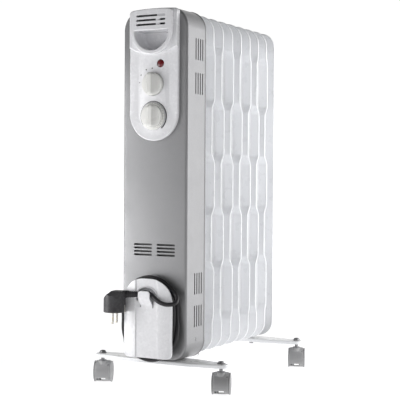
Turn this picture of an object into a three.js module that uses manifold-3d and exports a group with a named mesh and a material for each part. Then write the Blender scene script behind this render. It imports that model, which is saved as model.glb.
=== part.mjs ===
// Oil filled radiator heater: nine pressed steel fins on a front and a rear foot bar with twin wheel
// casters, a sheet metal control box with a fascia and a handle at the top, and a cord winder below.
// Millimetres. +Z is up, the control box faces -Y, and +X is the right-hand side seen from the front.

import * as THREE from 'three';
import { mergeVertices } from 'three/addons/utils/BufferGeometryUtils.js';
import Module from 'manifold-3d';

const wasm = await Module();
wasm.setup();

// ---- Driving dimensions -----------------------------------------------------------------------

const gap = 0.3; // clearance that touching pieces keep

// Control box: a shell open at the back, whose skirt reaches just past the first fin's weld seam.
const box = {
  halfWidth: 61.5, bottom: 52.6, top: 633.8, depth: 62.5, wall: 1.5,
  corner: 30, topCorner: 34, frontRound: 4,
};
const backSheet = { front: 47, thickness: 1.5 };

// Fins: two pressed sheets each, welded along the rim.
const finCount = 9;
const fin = {
  halfWidth: box.halfWidth - box.wall - 0.5,
  bottom: box.bottom + 2,
  top: box.top - 1.8,
  corner: 28,
  topCorner: 32.2,
  firstSeam: 60,
  pitch: 35.3,
  flangeHalf: 1.4,
  channelHalf: 10,
  channelEdge: 36,
  flangeEdge: 42,
};
const wave = { bottom: 113, bandHeight: 92, bands: 5, blend: 9, depth: 5 };
const hub = { radius: 22, fromEnd: 37, bore: 17, sheet: 1.4 };

// Fascia and handle on the front of the box.
const fascia = { halfWidth: 46.5, centre: 461.5, side: 631.5, crown: 636, front: -5, back: -gap };
const dome = { halfWidth: 39, centre: 596, side: 629.5, crown: 634.5, front: -14, wall: 2.4 };
const pocket = { radius: 32.5, top: 596.5, wall: 2, floor: 13.6 };
const handleSlot = { heights: [606, 613.2, 620.4], left: -29, right: 26.5, half: 1.65 };
const panelOpening = { halfWidth: 37, bottom: 440, top: 622 };

// Controls.
const lamp = { x: 13.8, z: 542, radius: 6.3, edge: 4.6, crown: 6.6, holderRadius: 7.5 };
const powerDial = { z: 508.5, radius: 19, skirtTop: -14, gripTop: -21, gripHalf: 4.5 };
const heatDial = { z: 455.5, radius: 19, rim: 22.5, rimTop: -8.4, top: -17, gripHalf: 4 };
const spindle = { radius: 3, hole: 4.5, back: 20 };
const switchFront = 8;

// Vents.
const frontVent = { rows: 4, firstZ: 226.2, pitch: 5.7, height: 3, inner: 4.5, outer: 39.5 };
const sideVent = {
  count: 4, firstY: 27.7, pitch: 7.75, width: 3, height: 36, groups: [125, 179, 510.5, 567],
};

// Cord, its winder and its plug.
const cordDiameter = 7;
const coil = {
  outer: 55, inner: 41, backOuter: 50.8, backInner: 38.6, topCentre: 138.5, bottomCentre: 105,
  front: -15.5, middle: -8, back: -1,
};
const drum = { half: 36.5, front: -15.5, back: -gap, bossHalf: 17, bossLow: 74, bossHigh: 136 };
const gland = { x: -33.5, y: -10, low: 100, top: 126, radius: 5.2, topRadius: 4.1 };
const glandPocket = { margin: 6.3, back: -3.5, low: 96, top: 170 };
const plate = {
  halfWidth: 45.6, bottom: 58.2, top: 188.5, topCorner: 38, bottomCorner: 8,
  facet: 20.6, step: 1.3, front: -23.2, edgeFront: -19.8, thickness: 2.4,
};
const clip = {
  halfWidth: 11, top: 169, foot: 141, archRadius: 20, archCentre: 154.5, slit: 2,
  lean: 10, tipThickness: 1.8, lipRise: 16,
};
const plug = {
  x: -53.5, y: -37, face: 132, top: 168, radius: 18.3, yaw: 12, cableZ: 162.5, bootEnd: 40,
  slopeEdge: 24, slopeRise: 13.4, slopeEnd: -1,
};
const pins = { radius: 2.4, length: 19, spacing: 19, insertRadius: 14, insertDepth: 6 };
const leadRoute = [
  [55.3, -20.9, 154.3], [54.6, -24.6, 151.8], [51.2, -27.4, 149.9], [45, -29.7, 149.1],
  [37, -30.6, 149.6], [29, -30.3, 152], [21, -29, 156.2], [14, -27.2, 160.6], [8, -25.9, 163.8],
  [2, -25.2, 166], [-4, -25.4, 166], [-8.9, -26.8, 163.9], [-13.25, -28.44, 162.5],
];

// Feet and casters.
const foot = {
  top: 52, depth: 6.5, sheet: 2, halfMiddle: 62, front: 0.6, back: 45, endRadius: 12, stemX: 115,
  frontRow: 21.5, rearRow: 329, tongueHalf: 34,
};
const uBolt = { wire: 2.5, half: 25, end: 40 };
const wingNutSize = { radius: 5.4, height: 5.5, wingHalf: 1.2, wingReach: 10, wingDrop: 9 };
const caster = {
  wheelRadius: 18.5, treadRadius: 17, trail: 8, fender: 19.6, fenderInner: 17.7, halfHood: 12.8,
  halfWeb: 4.6, pin: 3, axle: 2, sides: 16,
};
const casterStemSize = { low: 24, collar: 6.5, collarHeight: 2.2, nut: 5.8, nutHeight: 3.6 };
const hoodCut = {
  floor: 3, low: 11, rear: 2, rearRise: 7, windowLow: 4.7, windowHigh: 8.6, left: -5.4, right: 6.2,
};
const casters = [
  { name: 'caster_front_left', x: -foot.stemX, y: foot.frontRow, yaw: 24 },
  { name: 'caster_front_right', x: foot.stemX, y: foot.frontRow, yaw: 22 },
  { name: 'caster_rear_left', x: -foot.stemX, y: foot.rearRow, yaw: 16 },
  { name: 'caster_rear_right', x: foot.stemX, y: foot.rearRow, yaw: 20 },
];

const seamY = (index) => fin.firstSeam + index * fin.pitch;
const lowHub = fin.bottom + hub.fromEnd;
const highHub = fin.top - hub.fromEnd;

// ---- Materials ----------------------------------------------------------------------------------

const finish = {
  enamel: { color: 0xf2f3f5, roughness: 0.3, metalness: 0 },
  silver: { color: 0xb4b5b8, roughness: 0.45, metalness: 0.3 },
  zinc: { color: 0x9da0a4, roughness: 0.4, metalness: 0.9 },
  whitePlastic: { color: 0xe9e9ee, roughness: 0.3, metalness: 0 },
  knobPlastic: { color: 0xe6e6e2, roughness: 0.35, metalness: 0 },
  redLens: { color: 0x8a0f1c, roughness: 0.15, metalness: 0 },
  greyPlastic: { color: 0xa2a2a3, roughness: 0.5, metalness: 0 },
  blackPlastic: { color: 0x1d1b20, roughness: 0.45, metalness: 0 },
  cordRubber: { color: 0x18171a, roughness: 0.6, metalness: 0 },
  brass: { color: 0xb5a26a, roughness: 0.35, metalness: 1 },
  copper: { color: 0xa8683f, roughness: 0.4, metalness: 1 },
};

// ---- Helpers ------------------------------------------------------------------------------------

const model = new THREE.Group();

// Adds one named sub-part to the group it belongs to.
function add(name, geometry, look, parent = model) {
  const mesh = new THREE.Mesh(geometry, new THREE.MeshStandardMaterial(finish[look]));
  mesh.name = name;
  parent.add(mesh);
  return mesh;
}

// A closed three.js geometry as a solid that can be joined and cut.
function solid(geometry) {
  const bare = geometry.clone();
  bare.deleteAttribute('normal');
  bare.deleteAttribute('uv');
  const merged = mergeVertices(bare, 1e-4);
  const vertProperties = new Float32Array(merged.attributes.position.array);
  const triVerts = new Uint32Array(merged.index.array);
  return new wasm.Manifold(new wasm.Mesh({ numProp: 3, vertProperties, triVerts }));
}

// The surface of a solid as a three.js geometry.
function surface(manifold) {
  const mesh = manifold.getMesh();
  const geometry = new THREE.BufferGeometry();
  geometry.setAttribute('position', new THREE.BufferAttribute(Float32Array.from(mesh.vertProperties), 3));
  geometry.setIndex(Array.from(mesh.triVerts));
  return geometry;
}

function subtractAll(body, tools) {
  return tools.reduce((left, tool) => left.subtract(tool), body);
}

// A plane outline in X and Z, made into a block between two Y values.
function blockY(shape, yFront, yBack, curveSegments = 3) {
  const geometry = new THREE.ExtrudeGeometry(shape, {
    depth: yBack - yFront, bevelEnabled: false, curveSegments,
  });
  return geometry.rotateX(Math.PI / 2).translate(0, yBack, 0);
}

// A plane outline in X and Y, made into a block between two Z values.
function blockZ(shape, zLow, zHigh, curveSegments = 3) {
  return new THREE.ExtrudeGeometry(shape, { depth: zHigh - zLow, bevelEnabled: false, curveSegments })
    .translate(0, 0, zLow);
}

function cuboid(x0, x1, y0, y1, z0, z1) {
  return new THREE.BoxGeometry(x1 - x0, y1 - y0, z1 - z0)
    .translate((x0 + x1) / 2, (y0 + y1) / 2, (z0 + z1) / 2);
}

// Cylinders along Y and Z. The one along Z can taper.
function rodY(x, z, radius, y0, y1, sides = 16) {
  return new THREE.CylinderGeometry(radius, radius, y1 - y0, sides).translate(x, (y0 + y1) / 2, z);
}

function rodZ(x, y, radius, z0, z1, sides = 16, topRadius = radius) {
  return new THREE.CylinderGeometry(topRadius, radius, z1 - z0, sides)
    .rotateX(Math.PI / 2)
    .translate(x, y, (z0 + z1) / 2);
}

// A tube of round section along a list of points.
function tube(points, radius, sides, steps) {
  const curve = new THREE.CatmullRomCurve3(points.map((p) => new THREE.Vector3(...p)), false, 'centripetal');
  const section = new THREE.Shape();
  section.absarc(0, 0, radius, 0, 2 * Math.PI, false);
  return new THREE.ExtrudeGeometry(section, { extrudePath: curve, steps, curveSegments: sides / 2 });
}

function roundedRectangle(halfWidth, low, high, lowCorner, highCorner = lowCorner) {
  const shape = new THREE.Shape();
  shape.moveTo(-halfWidth + lowCorner, low);
  shape.lineTo(halfWidth - lowCorner, low);
  shape.absarc(halfWidth - lowCorner, low + lowCorner, lowCorner, -Math.PI / 2, 0, false);
  shape.absarc(halfWidth - highCorner, high - highCorner, highCorner, 0, Math.PI / 2, false);
  shape.absarc(-halfWidth + highCorner, high - highCorner, highCorner, Math.PI / 2, Math.PI, false);
  shape.absarc(-halfWidth + lowCorner, low + lowCorner, lowCorner, Math.PI, 1.5 * Math.PI, false);
  return shape;
}

// An upright outline with two half-round ends, as a winding takes.
function racetrack(half, lowCentre, highCentre) {
  const shape = new THREE.Shape();
  shape.absarc(0, highCentre, half, 0, Math.PI, false);
  shape.absarc(0, lowCentre, half, Math.PI, 2 * Math.PI, false);
  return shape;
}

// A flat top on a half-round bottom, as the handle pocket has.
function halfRound(radius, centre, top = centre) {
  const shape = new THREE.Shape();
  shape.moveTo(radius, top);
  shape.lineTo(-radius, top);
  shape.absarc(0, centre, radius, Math.PI, 2 * Math.PI, false);
  return shape;
}

// An upright outline with a half-round bottom and an arched top.
function shield(halfWidth, centre, side, crown) {
  const shape = new THREE.Shape();
  shape.moveTo(halfWidth, side);
  shape.quadraticCurveTo(0, crown, -halfWidth, side);
  shape.absarc(0, centre, halfWidth, Math.PI, 2 * Math.PI, false);
  return shape;
}

// ---- Fins ---------------------------------------------------------------------------------------

function mirrored(values) {
  return [...values.map((value) => -value), ...[...values].reverse()];
}

const finColumns = mirrored([fin.halfWidth, fin.flangeEdge, fin.channelEdge]);
const rimToChannel = [14, 24];
const cornerRows = [0, 4, rimToChannel[0], rimToChannel[1]];
const waveRows = Array.from({ length: wave.bands + 1 }, (_, i) => wave.bottom + i * wave.bandHeight)
  .flatMap((edge) => [edge - wave.blend, edge + wave.blend]);
const finRows = [
  ...cornerRows.map((rise) => fin.bottom + rise),
  ...waveRows,
  ...[...cornerRows].reverse().map((drop) => fin.top - drop),
];

// Half the fin's width at a height, rounded at the corners.
function finHalfWidthAt(z) {
  const nearTop = fin.top - z < z - fin.bottom;
  const corner = nearTop ? fin.topCorner : fin.corner;
  const inset = Math.max(0, corner - (nearTop ? fin.top - z : z - fin.bottom));
  return fin.halfWidth - corner + Math.sqrt(corner ** 2 - inset ** 2);
}

// Half the fin's thickness: a thin flange all round the oil channels.
function finHalfThickness(column, z) {
  const fromEnd = Math.min(z - fin.bottom, fin.top - z);
  const flange = Math.abs(column) > fin.channelEdge || fromEnd <= rimToChannel[0];
  return flange ? fin.flangeHalf : fin.channelHalf;
}

// The flanges of the inner fins bend forward and back in bands, against their neighbours.
function flangeBend(index, column, z) {
  const band = Math.floor((z - wave.bottom) / wave.bandHeight);
  const outside = band < 0 || band >= wave.bands || index === 0 || index === finCount - 1;
  if (outside || Math.abs(column) < fin.flangeEdge) return 0;
  return (index + band) % 2 === 1 ? wave.depth : -wave.depth;
}

function finPlate(index) {
  const columns = finColumns.length - 1;
  const rows = finRows.length - 1;
  const geometry = new THREE.BoxGeometry(1, 1, 1, columns, 1, rows);
  const position = geometry.attributes.position;
  for (let v = 0; v < position.count; v++) {
    const column = finColumns[Math.round((position.getX(v) + 0.5) * columns)];
    const z = finRows[Math.round((position.getZ(v) + 0.5) * rows)];
    const y = Math.sign(position.getY(v)) * finHalfThickness(column, z) + flangeBend(index, column, z);
    position.setXYZ(v, column * finHalfWidthAt(z) / fin.halfWidth, seamY(index) + y, z);
  }
  return geometry;
}

// A fin is hollow between its two sheets, and opens into its neighbours through a hub near each end.
function finGeometry(index) {
  const seam = seamY(index);
  const first = index === 0;
  const last = index === finCount - 1;
  const joined = fin.pitch / 2 - gap / 2;
  const rear = last ? fin.channelHalf + 2 : joined;
  const rearBore = last ? seam : seam + 2 * joined;
  const inside = fin.channelHalf - hub.sheet;
  const side = fin.channelEdge - 2;
  const end = rimToChannel[1];
  return surface(subtractAll(
    solid(finPlate(index))
      .add(solid(rodY(0, lowHub, hub.radius, seam - (first ? 15 : joined), seam + rear)))
      .add(solid(rodY(0, highHub, hub.radius, seam - (first ? fin.channelHalf : joined), seam + rear))),
    [
      cuboid(-side, side, seam - inside, seam + inside, fin.bottom + end, fin.top - end),
      rodY(0, lowHub, hub.bore, seam - 2 * joined, rearBore, 10),
      rodY(0, highHub, hub.bore, first ? seam : seam - 2 * joined, rearBore, 10),
    ].map(solid),
  ));
}

for (let index = 0; index < finCount; index++) add(`fin_${index + 1}`, finGeometry(index), 'enamel');

// The immersion heater: a flange with a U of sheathed element that lies in the lower oil gallery.
function heatingElement() {
  const face = seamY(0) - 15 - gap;
  const far = seamY(finCount - 1) - 14;
  const half = 7;
  const bend = Array.from({ length: 7 }, (_, i) => {
    const angle = Math.PI * (1 - i / 6);
    return [half * Math.cos(angle), far + half * Math.sin(angle), lowHub];
  });
  const rod = tube([[-half, face - 16, lowHub], [-half, far - 40, lowHub], ...bend,
    [half, far - 40, lowHub], [half, face - 16, lowHub]], 4, 8, 18);
  return surface(solid(rod).add(solid(rodY(0, lowHub, hub.radius, face - 8, face, 6))));
}
add('heating_element', heatingElement(), 'copper');
add('oil_filler_plug', rodY(0, highHub, 7, seamY(finCount - 1) + fin.channelHalf + 2 + gap,
  seamY(finCount - 1) + fin.channelHalf + 5, 6), 'zinc');

// ---- Control box --------------------------------------------------------------------------------

function ventSlots() {
  const slots = [];
  for (let row = 0; row < frontVent.rows; row++) {
    const z = frontVent.firstZ + row * frontVent.pitch;
    for (const side of [-1, 1]) {
      const [x0, x1] = [side * frontVent.inner, side * frontVent.outer].sort((a, b) => a - b);
      slots.push(cuboid(x0, x1, -1, box.wall + 2, z - frontVent.height / 2, z + frontVent.height / 2));
    }
  }
  for (const middle of sideVent.groups) {
    for (let slot = 0; slot < sideVent.count; slot++) {
      const y = sideVent.firstY + slot * sideVent.pitch;
      const half = box.halfWidth + 1;
      slots.push(cuboid(-half, half, y - sideVent.width / 2, y + sideVent.width / 2,
        middle - sideVent.height / 2, middle + sideVent.height / 2));
    }
  }
  return slots;
}

function controlBoxShell() {
  const round = box.frontRound;
  const outline = roundedRectangle(box.halfWidth - round, box.bottom + round, box.top - round,
    box.corner - round, box.topCorner - round);
  const rounded = new THREE.ExtrudeGeometry(outline, {
    depth: box.depth, bevelThickness: round, bevelSize: round, bevelSegments: 2, curveSegments: 3,
  }).rotateX(Math.PI / 2).translate(0, box.depth + round, 0);
  const inside = roundedRectangle(box.halfWidth - box.wall, box.bottom + box.wall, box.top - box.wall,
    box.corner - box.wall, box.topCorner - box.wall);
  const far = 2 * box.depth;
  const { halfWidth, bottom, top } = panelOpening;
  return surface(subtractAll(solid(rounded), [
    solid(cuboid(-far, far, box.depth, far, 0, 2 * box.top)),
    solid(blockY(inside, box.wall, far)),
    solid(blockY(roundedRectangle(halfWidth, bottom, top, 8), -1, 5, 1)),
    ...ventSlots().map(solid),
  ]));
}

function backPlate() {
  const inset = box.wall + gap;
  const outline = roundedRectangle(box.halfWidth - inset, box.bottom + inset, box.top - inset,
    box.corner - inset, box.topCorner - inset);
  const { front, thickness } = backSheet;
  const sheet = solid(blockY(outline, front, front + thickness));
  return surface(sheet.subtract(solid(rodY(0, lowHub, hub.radius + 1, front - 5, front + 5))));
}

add('control_box_shell', controlBoxShell(), 'silver');
add('control_box_back_plate', backPlate(), 'zinc');

// ---- Fascia, handle and controls ------------------------------------------------------------------

function controlFascia() {
  const panel = blockY(shield(fascia.halfWidth, fascia.centre, fascia.side, fascia.crown),
    fascia.front, fascia.back, 8);
  const around = pocket.wall + gap;
  const through = 2 * fascia.front;
  return surface(subtractAll(solid(panel), [
    solid(blockY(halfRound(pocket.radius + around, pocket.top, pocket.top + around), through, 3, 6)),
    solid(rodY(lamp.x, lamp.z, lamp.radius + gap, through, 3)),
    solid(rodY(0, powerDial.z, spindle.hole, through, 3, 12)),
    solid(rodY(0, heatDial.z, spindle.hole, through, 3, 12)),
  ]));
}

// The handle is a hollow cap with three vent slots over a pocket that the fingers hook into.
function handleCap() {
  const back = fascia.front - gap;
  const { wall } = dome;
  const outer = blockY(shield(dome.halfWidth, dome.centre, dome.side, dome.crown), dome.front, back, 7);
  const inner = blockY(shield(dome.halfWidth - wall, dome.centre, dome.side - wall, dome.crown - wall),
    dome.front + wall, back + 1, 7);
  const cup = blockY(halfRound(pocket.radius + pocket.wall, pocket.top, pocket.top + pocket.wall),
    dome.front + 1, pocket.floor + pocket.wall, 6);
  const hollow = blockY(halfRound(pocket.radius, pocket.top), dome.front - 1, pocket.floor, 6);
  const { heights, left, right, half } = handleSlot;
  const slots = heights.map((z) => cuboid(left, right, dome.front - 1, dome.front + 4, z - half, z + half));
  return surface(subtractAll(
    solid(outer).subtract(solid(inner)).add(solid(cup)),
    [hollow, ...slots].map(solid),
  ));
}

add('control_fascia', controlFascia(), 'whitePlastic');
add('handle_cap', handleCap(), 'whitePlastic');

function lampLens() {
  const { radius, edge, crown } = lamp;
  const profile = [[0, 0], [radius, 0], [radius, edge], [radius - 1.6, (edge + crown) / 2], [0, crown]];
  return new THREE.LatheGeometry(profile.map((p) => new THREE.Vector2(...p)), 16)
    .rotateX(Math.PI)
    .translate(lamp.x, fascia.back - 1, lamp.z);
}
add('pilot_lamp_lens', lampLens(), 'redLens');
add('pilot_lamp_holder', rodY(lamp.x, lamp.z, lamp.holderRadius, fascia.back + gap, 18, 12), 'blackPlastic');

// A turned profile of [radius, distance in front of the fascia] pairs, on an axis along Y.
function dialBody(profile, z, sides) {
  return new THREE.LatheGeometry(profile.map((p) => new THREE.Vector2(...p)), sides)
    .rotateX(Math.PI)
    .translate(0, fascia.front - gap, z);
}

function powerKnob() {
  const { radius, skirtTop, gripTop, gripHalf, z } = powerDial;
  const skirt = fascia.front - gap - skirtTop;
  const body = dialBody([[0, 0], [radius, 0], [radius, 2], [radius - 1.5, skirt], [0, skirt]], z, 20);
  const grip = cuboid(-gripHalf, gripHalf, gripTop, skirtTop + 1, z - radius + 2, z + radius - 2);
  const bore = rodY(0, z, spindle.radius + gap, skirtTop + 1.5, 3, 12);
  return surface(solid(body).add(solid(grip)).subtract(solid(bore)));
}

function thermostatKnob() {
  const { radius, rim, rimTop, top, gripHalf, z } = heatDial;
  const rimHeight = fascia.front - gap - rimTop;
  const height = fascia.front - gap - top;
  const body = dialBody([[0, 0], [rim, 0], [rim, rimHeight], [radius, rimHeight + 0.6],
    [radius - 1.5, height - 4], [0, height - 4]], z, 20);
  const grip = cuboid(-gripHalf, gripHalf, top, top + 5, z - radius + 2.5, z + radius - 2.5);
  const bore = rodY(0, z, spindle.radius + gap, top + 5.5, 3, 12);
  return surface(solid(body).add(solid(grip)).subtract(solid(bore)));
}

add('power_knob', powerKnob(), 'knobPlastic');
add('thermostat_knob', thermostatKnob(), 'knobPlastic');
add('power_switch_shaft', rodY(0, powerDial.z, spindle.radius, powerDial.skirtTop + 2, spindle.back, 12),
  'blackPlastic');
add('thermostat_shaft', rodY(0, heatDial.z, spindle.radius, heatDial.top + 6, spindle.back, 12), 'zinc');

// A switch case behind the panel, with the blind hole that its spindle turns in.
function switchCase(z, halfWidth, halfHeight, depth) {
  const body = cuboid(-halfWidth, halfWidth, switchFront, switchFront + depth,
    z - halfHeight, z + halfHeight);
  const bore = rodY(0, z, spindle.radius + gap, switchFront - 4, spindle.back + gap, 12);
  return surface(solid(body).subtract(solid(bore)));
}
add('power_switch', switchCase(powerDial.z, 14, 16, 30), 'blackPlastic');
add('thermostat', switchCase(heatDial.z, 17, 17, 24), 'zinc');
add('thermal_cutout', rodY(22, 165, 9, 35, backSheet.front - gap, 16), 'blackPlastic');
add('tilt_switch', cuboid(-34, -12, 33, backSheet.front - gap, 150, 186), 'blackPlastic');

// ---- Cord winder, cord and plug -------------------------------------------------------------------

// The drum that the cord is wound on, with a pocket in its left side where the cord comes out.
function winderDrum() {
  const outline = racetrack(drum.half, coil.bottomCentre, coil.topCentre);
  const boss = roundedRectangle(drum.bossHalf, drum.bossLow, drum.bossHigh, 4);
  const { margin, back, low, top } = glandPocket;
  return surface(
    solid(blockY(outline, drum.front, drum.back, 8))
      .add(solid(blockY(boss, plate.front + plate.thickness + gap, drum.front + 1, 1)))
      .subtract(solid(cuboid(-drum.half - 1, gland.x + margin, drum.front - 1, back, low, top))),
  );
}

// The plate's cross-section: a middle facet sunk by a step, and side facets that fall back to the edges.
function plateSection() {
  const { halfWidth, facet, step, front, edgeFront, thickness } = plate;
  const face = [[-halfWidth, edgeFront], [-facet, front - step], [0.5 - facet, front],
    [facet - 0.5, front], [facet, front - step], [halfWidth, edgeFront]];
  const back = [...face].reverse().map(([x, y]) => [x, y + thickness]);
  return new THREE.Shape([...face, ...back].map(([x, y]) => new THREE.Vector2(x, y)));
}

// The clip's tab stands in an arched window and leans forward, so that the cord slips in behind it.
function winderPlate() {
  const { halfWidth, top, foot: low, archRadius, archCentre, slit, lean, tipThickness, lipRise } = clip;
  const outline = roundedRectangle(plate.halfWidth, plate.bottom, plate.top,
    plate.bottomCorner, plate.topCorner);
  const sheet = solid(blockZ(plateSection(), plate.bottom - 5, plate.top + 5))
    .intersect(solid(blockY(outline, -60, 10, 4)));
  const arch = racetrack(archRadius, archCentre, archCentre);
  const slots = [-1, 1].map((side) => {
    const middle = side * (halfWidth + slit / 2);
    return cuboid(middle - slit / 2, middle + slit / 2, -40, 0, low, archCentre);
  });
  const window = solid(blockY(arch, -40, 0, 6))
    .subtract(solid(cuboid(-100, 100, -50, 10, archCentre - archRadius - 5, archCentre - 3)));
  const side = new THREE.Shape();
  const back = plate.front + plate.thickness;
  const tip = plate.front - lean;
  side.moveTo(plate.front, low - 2);
  for (const [y, z] of [[tip, low + lipRise], [tip, top], [tip + tipThickness, top],
    [tip + tipThickness, low + lipRise + 1.5], [back, low]]) side.lineTo(y, z);
  side.lineTo(back, low - 2);
  const tab = new THREE.ExtrudeGeometry(side, { depth: 2 * halfWidth, bevelEnabled: false })
    .applyMatrix4(new THREE.Matrix4().makeBasis(
      new THREE.Vector3(0, 1, 0), new THREE.Vector3(0, 0, 1), new THREE.Vector3(1, 0, 0)))
    .translate(-halfWidth, 0, 0);
  const cleared = cuboid(-halfWidth, halfWidth, -40, 0, low, archCentre + 1);
  return surface(subtractAll(sheet, [window, ...[...slots, cleared].map(solid)]).add(solid(tab)));
}

add('cord_winder_neck', winderDrum(), 'whitePlastic');
add('cord_winder_plate', winderPlate(), 'whitePlastic');
add('cord_gland', rodZ(gland.x, gland.y, gland.radius, gland.low, gland.top, 12, gland.topRadius),
  'blackPlastic');

// The wound cord: two turns side by side in a front layer, and two tighter turns behind them.
function coilLayer(outer, inner, front, back) {
  const outline = racetrack(outer, coil.bottomCentre, coil.topCentre);
  outline.holes.push(racetrack(inner, coil.bottomCentre, coil.topCentre));
  return solid(blockY(outline, front, back, 8));
}

function coilSolid() {
  const { outer, inner, backOuter, backInner, front, middle, back } = coil;
  return surface(coilLayer(outer, inner, front, middle).add(coilLayer(backOuter, backInner, middle, back)));
}
add('power_cord_coil', coilSolid(), 'cordRubber');
add('power_cord_lead', tube(leadRoute, cordDiameter / 2, 8, 20), 'cordRubber');

// The angled plug in its own frame: the cable leaves along +X, the pins point down.
const plugGroup = new THREE.Group();
plugGroup.position.set(plug.x, plug.y, 0);
plugGroup.rotation.z = THREE.MathUtils.degToRad(plug.yaw);
model.add(plugGroup);

function plugBody() {
  const { radius, face, top, cableZ, bootEnd, slopeEdge, slopeRise, slopeEnd } = plug;
  const slope = new THREE.Shape();
  slope.moveTo(-slopeEdge, face + slopeRise);
  slope.lineTo(slopeEnd, top + 0.5);
  slope.lineTo(-slopeEdge, top + 20);
  const chamfer = blockY(slope, -40, 40);
  const boot = new THREE.CylinderGeometry(6, 4.6, bootEnd - radius + 3, 12)
    .rotateZ(Math.PI / 2)
    .translate((bootEnd + radius - 3) / 2, 0, cableZ);
  return surface(
    solid(rodZ(0, 0, radius, face, top, 24))
      .subtract(solid(chamfer))
      .add(solid(boot))
      .subtract(solid(rodZ(0, 0, pins.insertRadius + gap, face - 1, face + pins.insertDepth, 20))),
  );
}

function plugPins() {
  const insert = solid(rodZ(0, 0, pins.insertRadius, plug.face, plug.face + pins.insertDepth - gap, 20));
  const pin = (side) => solid(rodZ(0, side * pins.spacing / 2, pins.radius, plug.face - pins.length,
    plug.face + 1, 10));
  return surface(insert.add(pin(-1)).add(pin(1)));
}
add('plug_body', plugBody(), 'blackPlastic', plugGroup);
add('plug_pins', plugPins(), 'brass', plugGroup);

// ---- Feet and U-bolts -----------------------------------------------------------------------------

// Half of a foot bar's plan, from the middle of its front edge round one end to its back edge.
function footOutline(front, back, row, inset) {
  const half = foot.halfMiddle - inset / 2;
  const end = foot.endRadius - inset;
  const shape = new THREE.Shape();
  shape.moveTo(-half, front + inset);
  shape.lineTo(half, front + inset);
  shape.absarc(foot.stemX, row, end, -0.42 * Math.PI, 0.42 * Math.PI, false);
  shape.lineTo(half, back - inset);
  shape.lineTo(-half, back - inset);
  shape.absarc(-foot.stemX, row, end, 0.58 * Math.PI, 1.42 * Math.PI, false);
  return shape;
}

function footBar(front, back, row, boltY, tongueBack) {
  const low = foot.top - foot.depth;
  let body = solid(blockZ(footOutline(front, back, row, 0), low, foot.top, 4));
  let hollow = solid(blockZ(footOutline(front, back, row, foot.sheet), low - 1, foot.top - foot.sheet, 4));
  if (tongueBack > back) {
    const { tongueHalf, sheet, top } = foot;
    body = body.add(solid(cuboid(-tongueHalf, tongueHalf, back - 5, tongueBack, low, top)));
    hollow = hollow.add(solid(cuboid(sheet - tongueHalf, tongueHalf - sheet, back - 8, tongueBack - sheet,
      low - 1, top - sheet)));
  }
  const holes = [-1, 1].flatMap((side) => [
    rodZ(side * foot.stemX, row, caster.pin + 1, low - 1, foot.top + 1, 12),
    rodZ(side * uBolt.half, boltY, uBolt.wire + 0.7, low - 1, foot.top + 1, 12),
  ]);
  return surface(subtractAll(body.subtract(hollow), holes.map(solid)));
}

function uBoltGeometry(y) {
  const { half, end, wire } = uBolt;
  const arc = Array.from({ length: 9 }, (_, i) => {
    const angle = Math.PI * (1 - i / 8);
    return [half * Math.cos(angle), y, lowHub + half * Math.sin(angle)];
  });
  return tube([[-half, y, end], [-half, y, (end + lowHub) / 2], ...arc, [half, y, (end + lowHub) / 2],
    [half, y, end]], wire, 8, 16);
}

function wingNut(x, y) {
  const top = foot.top - foot.sheet - gap;
  const { radius, height, wingHalf, wingReach, wingDrop } = wingNutSize;
  const wings = cuboid(x - wingHalf, x + wingHalf, y - wingReach, y + wingReach, top - wingDrop, top - 2);
  return surface(
    solid(rodZ(x, y, radius, top - height, top, 8))
      .add(solid(wings))
      .subtract(solid(rodZ(x, y, uBolt.wire + gap, top - 20, top + 1, 8))),
  );
}

const frontBoltY = seamY(0.5);
const rearBoltY = seamY(finCount - 1.5);
add('foot_front', footBar(foot.front, foot.back, foot.frontRow, frontBoltY, frontBoltY + 14), 'enamel');
add('foot_rear', footBar(rearBoltY - 20, rearBoltY + 22, foot.rearRow, rearBoltY, 0), 'enamel');
for (const [end, y] of [['front', frontBoltY], ['rear', rearBoltY]]) {
  add(`u_bolt_${end}`, uBoltGeometry(y), 'zinc');
  add(`wing_nut_${end}_left`, wingNut(-uBolt.half, y), 'zinc');
  add(`wing_nut_${end}_right`, wingNut(uBolt.half, y), 'zinc');
}

// ---- Casters --------------------------------------------------------------------------------------

// Each caster is drawn in its own frame: the stem is at the origin, the wheels trail along +Y.

function casterStem() {
  const hoodTop = caster.wheelRadius + caster.fender;
  const { pin } = caster;
  const { low, collar, collarHeight, nut, nutHeight } = casterStemSize;
  const profile = [
    [0, low], [pin, low], [pin, hoodTop + gap], [collar, hoodTop + gap], [collar, hoodTop + collarHeight],
    [pin, hoodTop + collarHeight], [pin, foot.top + gap], [nut, foot.top + gap], [nut, foot.top + nutHeight],
    [0, foot.top + nutHeight + 1],
  ];
  return new THREE.LatheGeometry(profile.map((p) => new THREE.Vector2(...p)), 10).rotateX(Math.PI / 2);
}

// A cylinder along X around the wheel axis.
function axial(radius, x0, x1, sides) {
  return new THREE.CylinderGeometry(radius, radius, x1 - x0, sides)
    .rotateZ(Math.PI / 2)
    .translate((x0 + x1) / 2, caster.trail, caster.wheelRadius);
}

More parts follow.
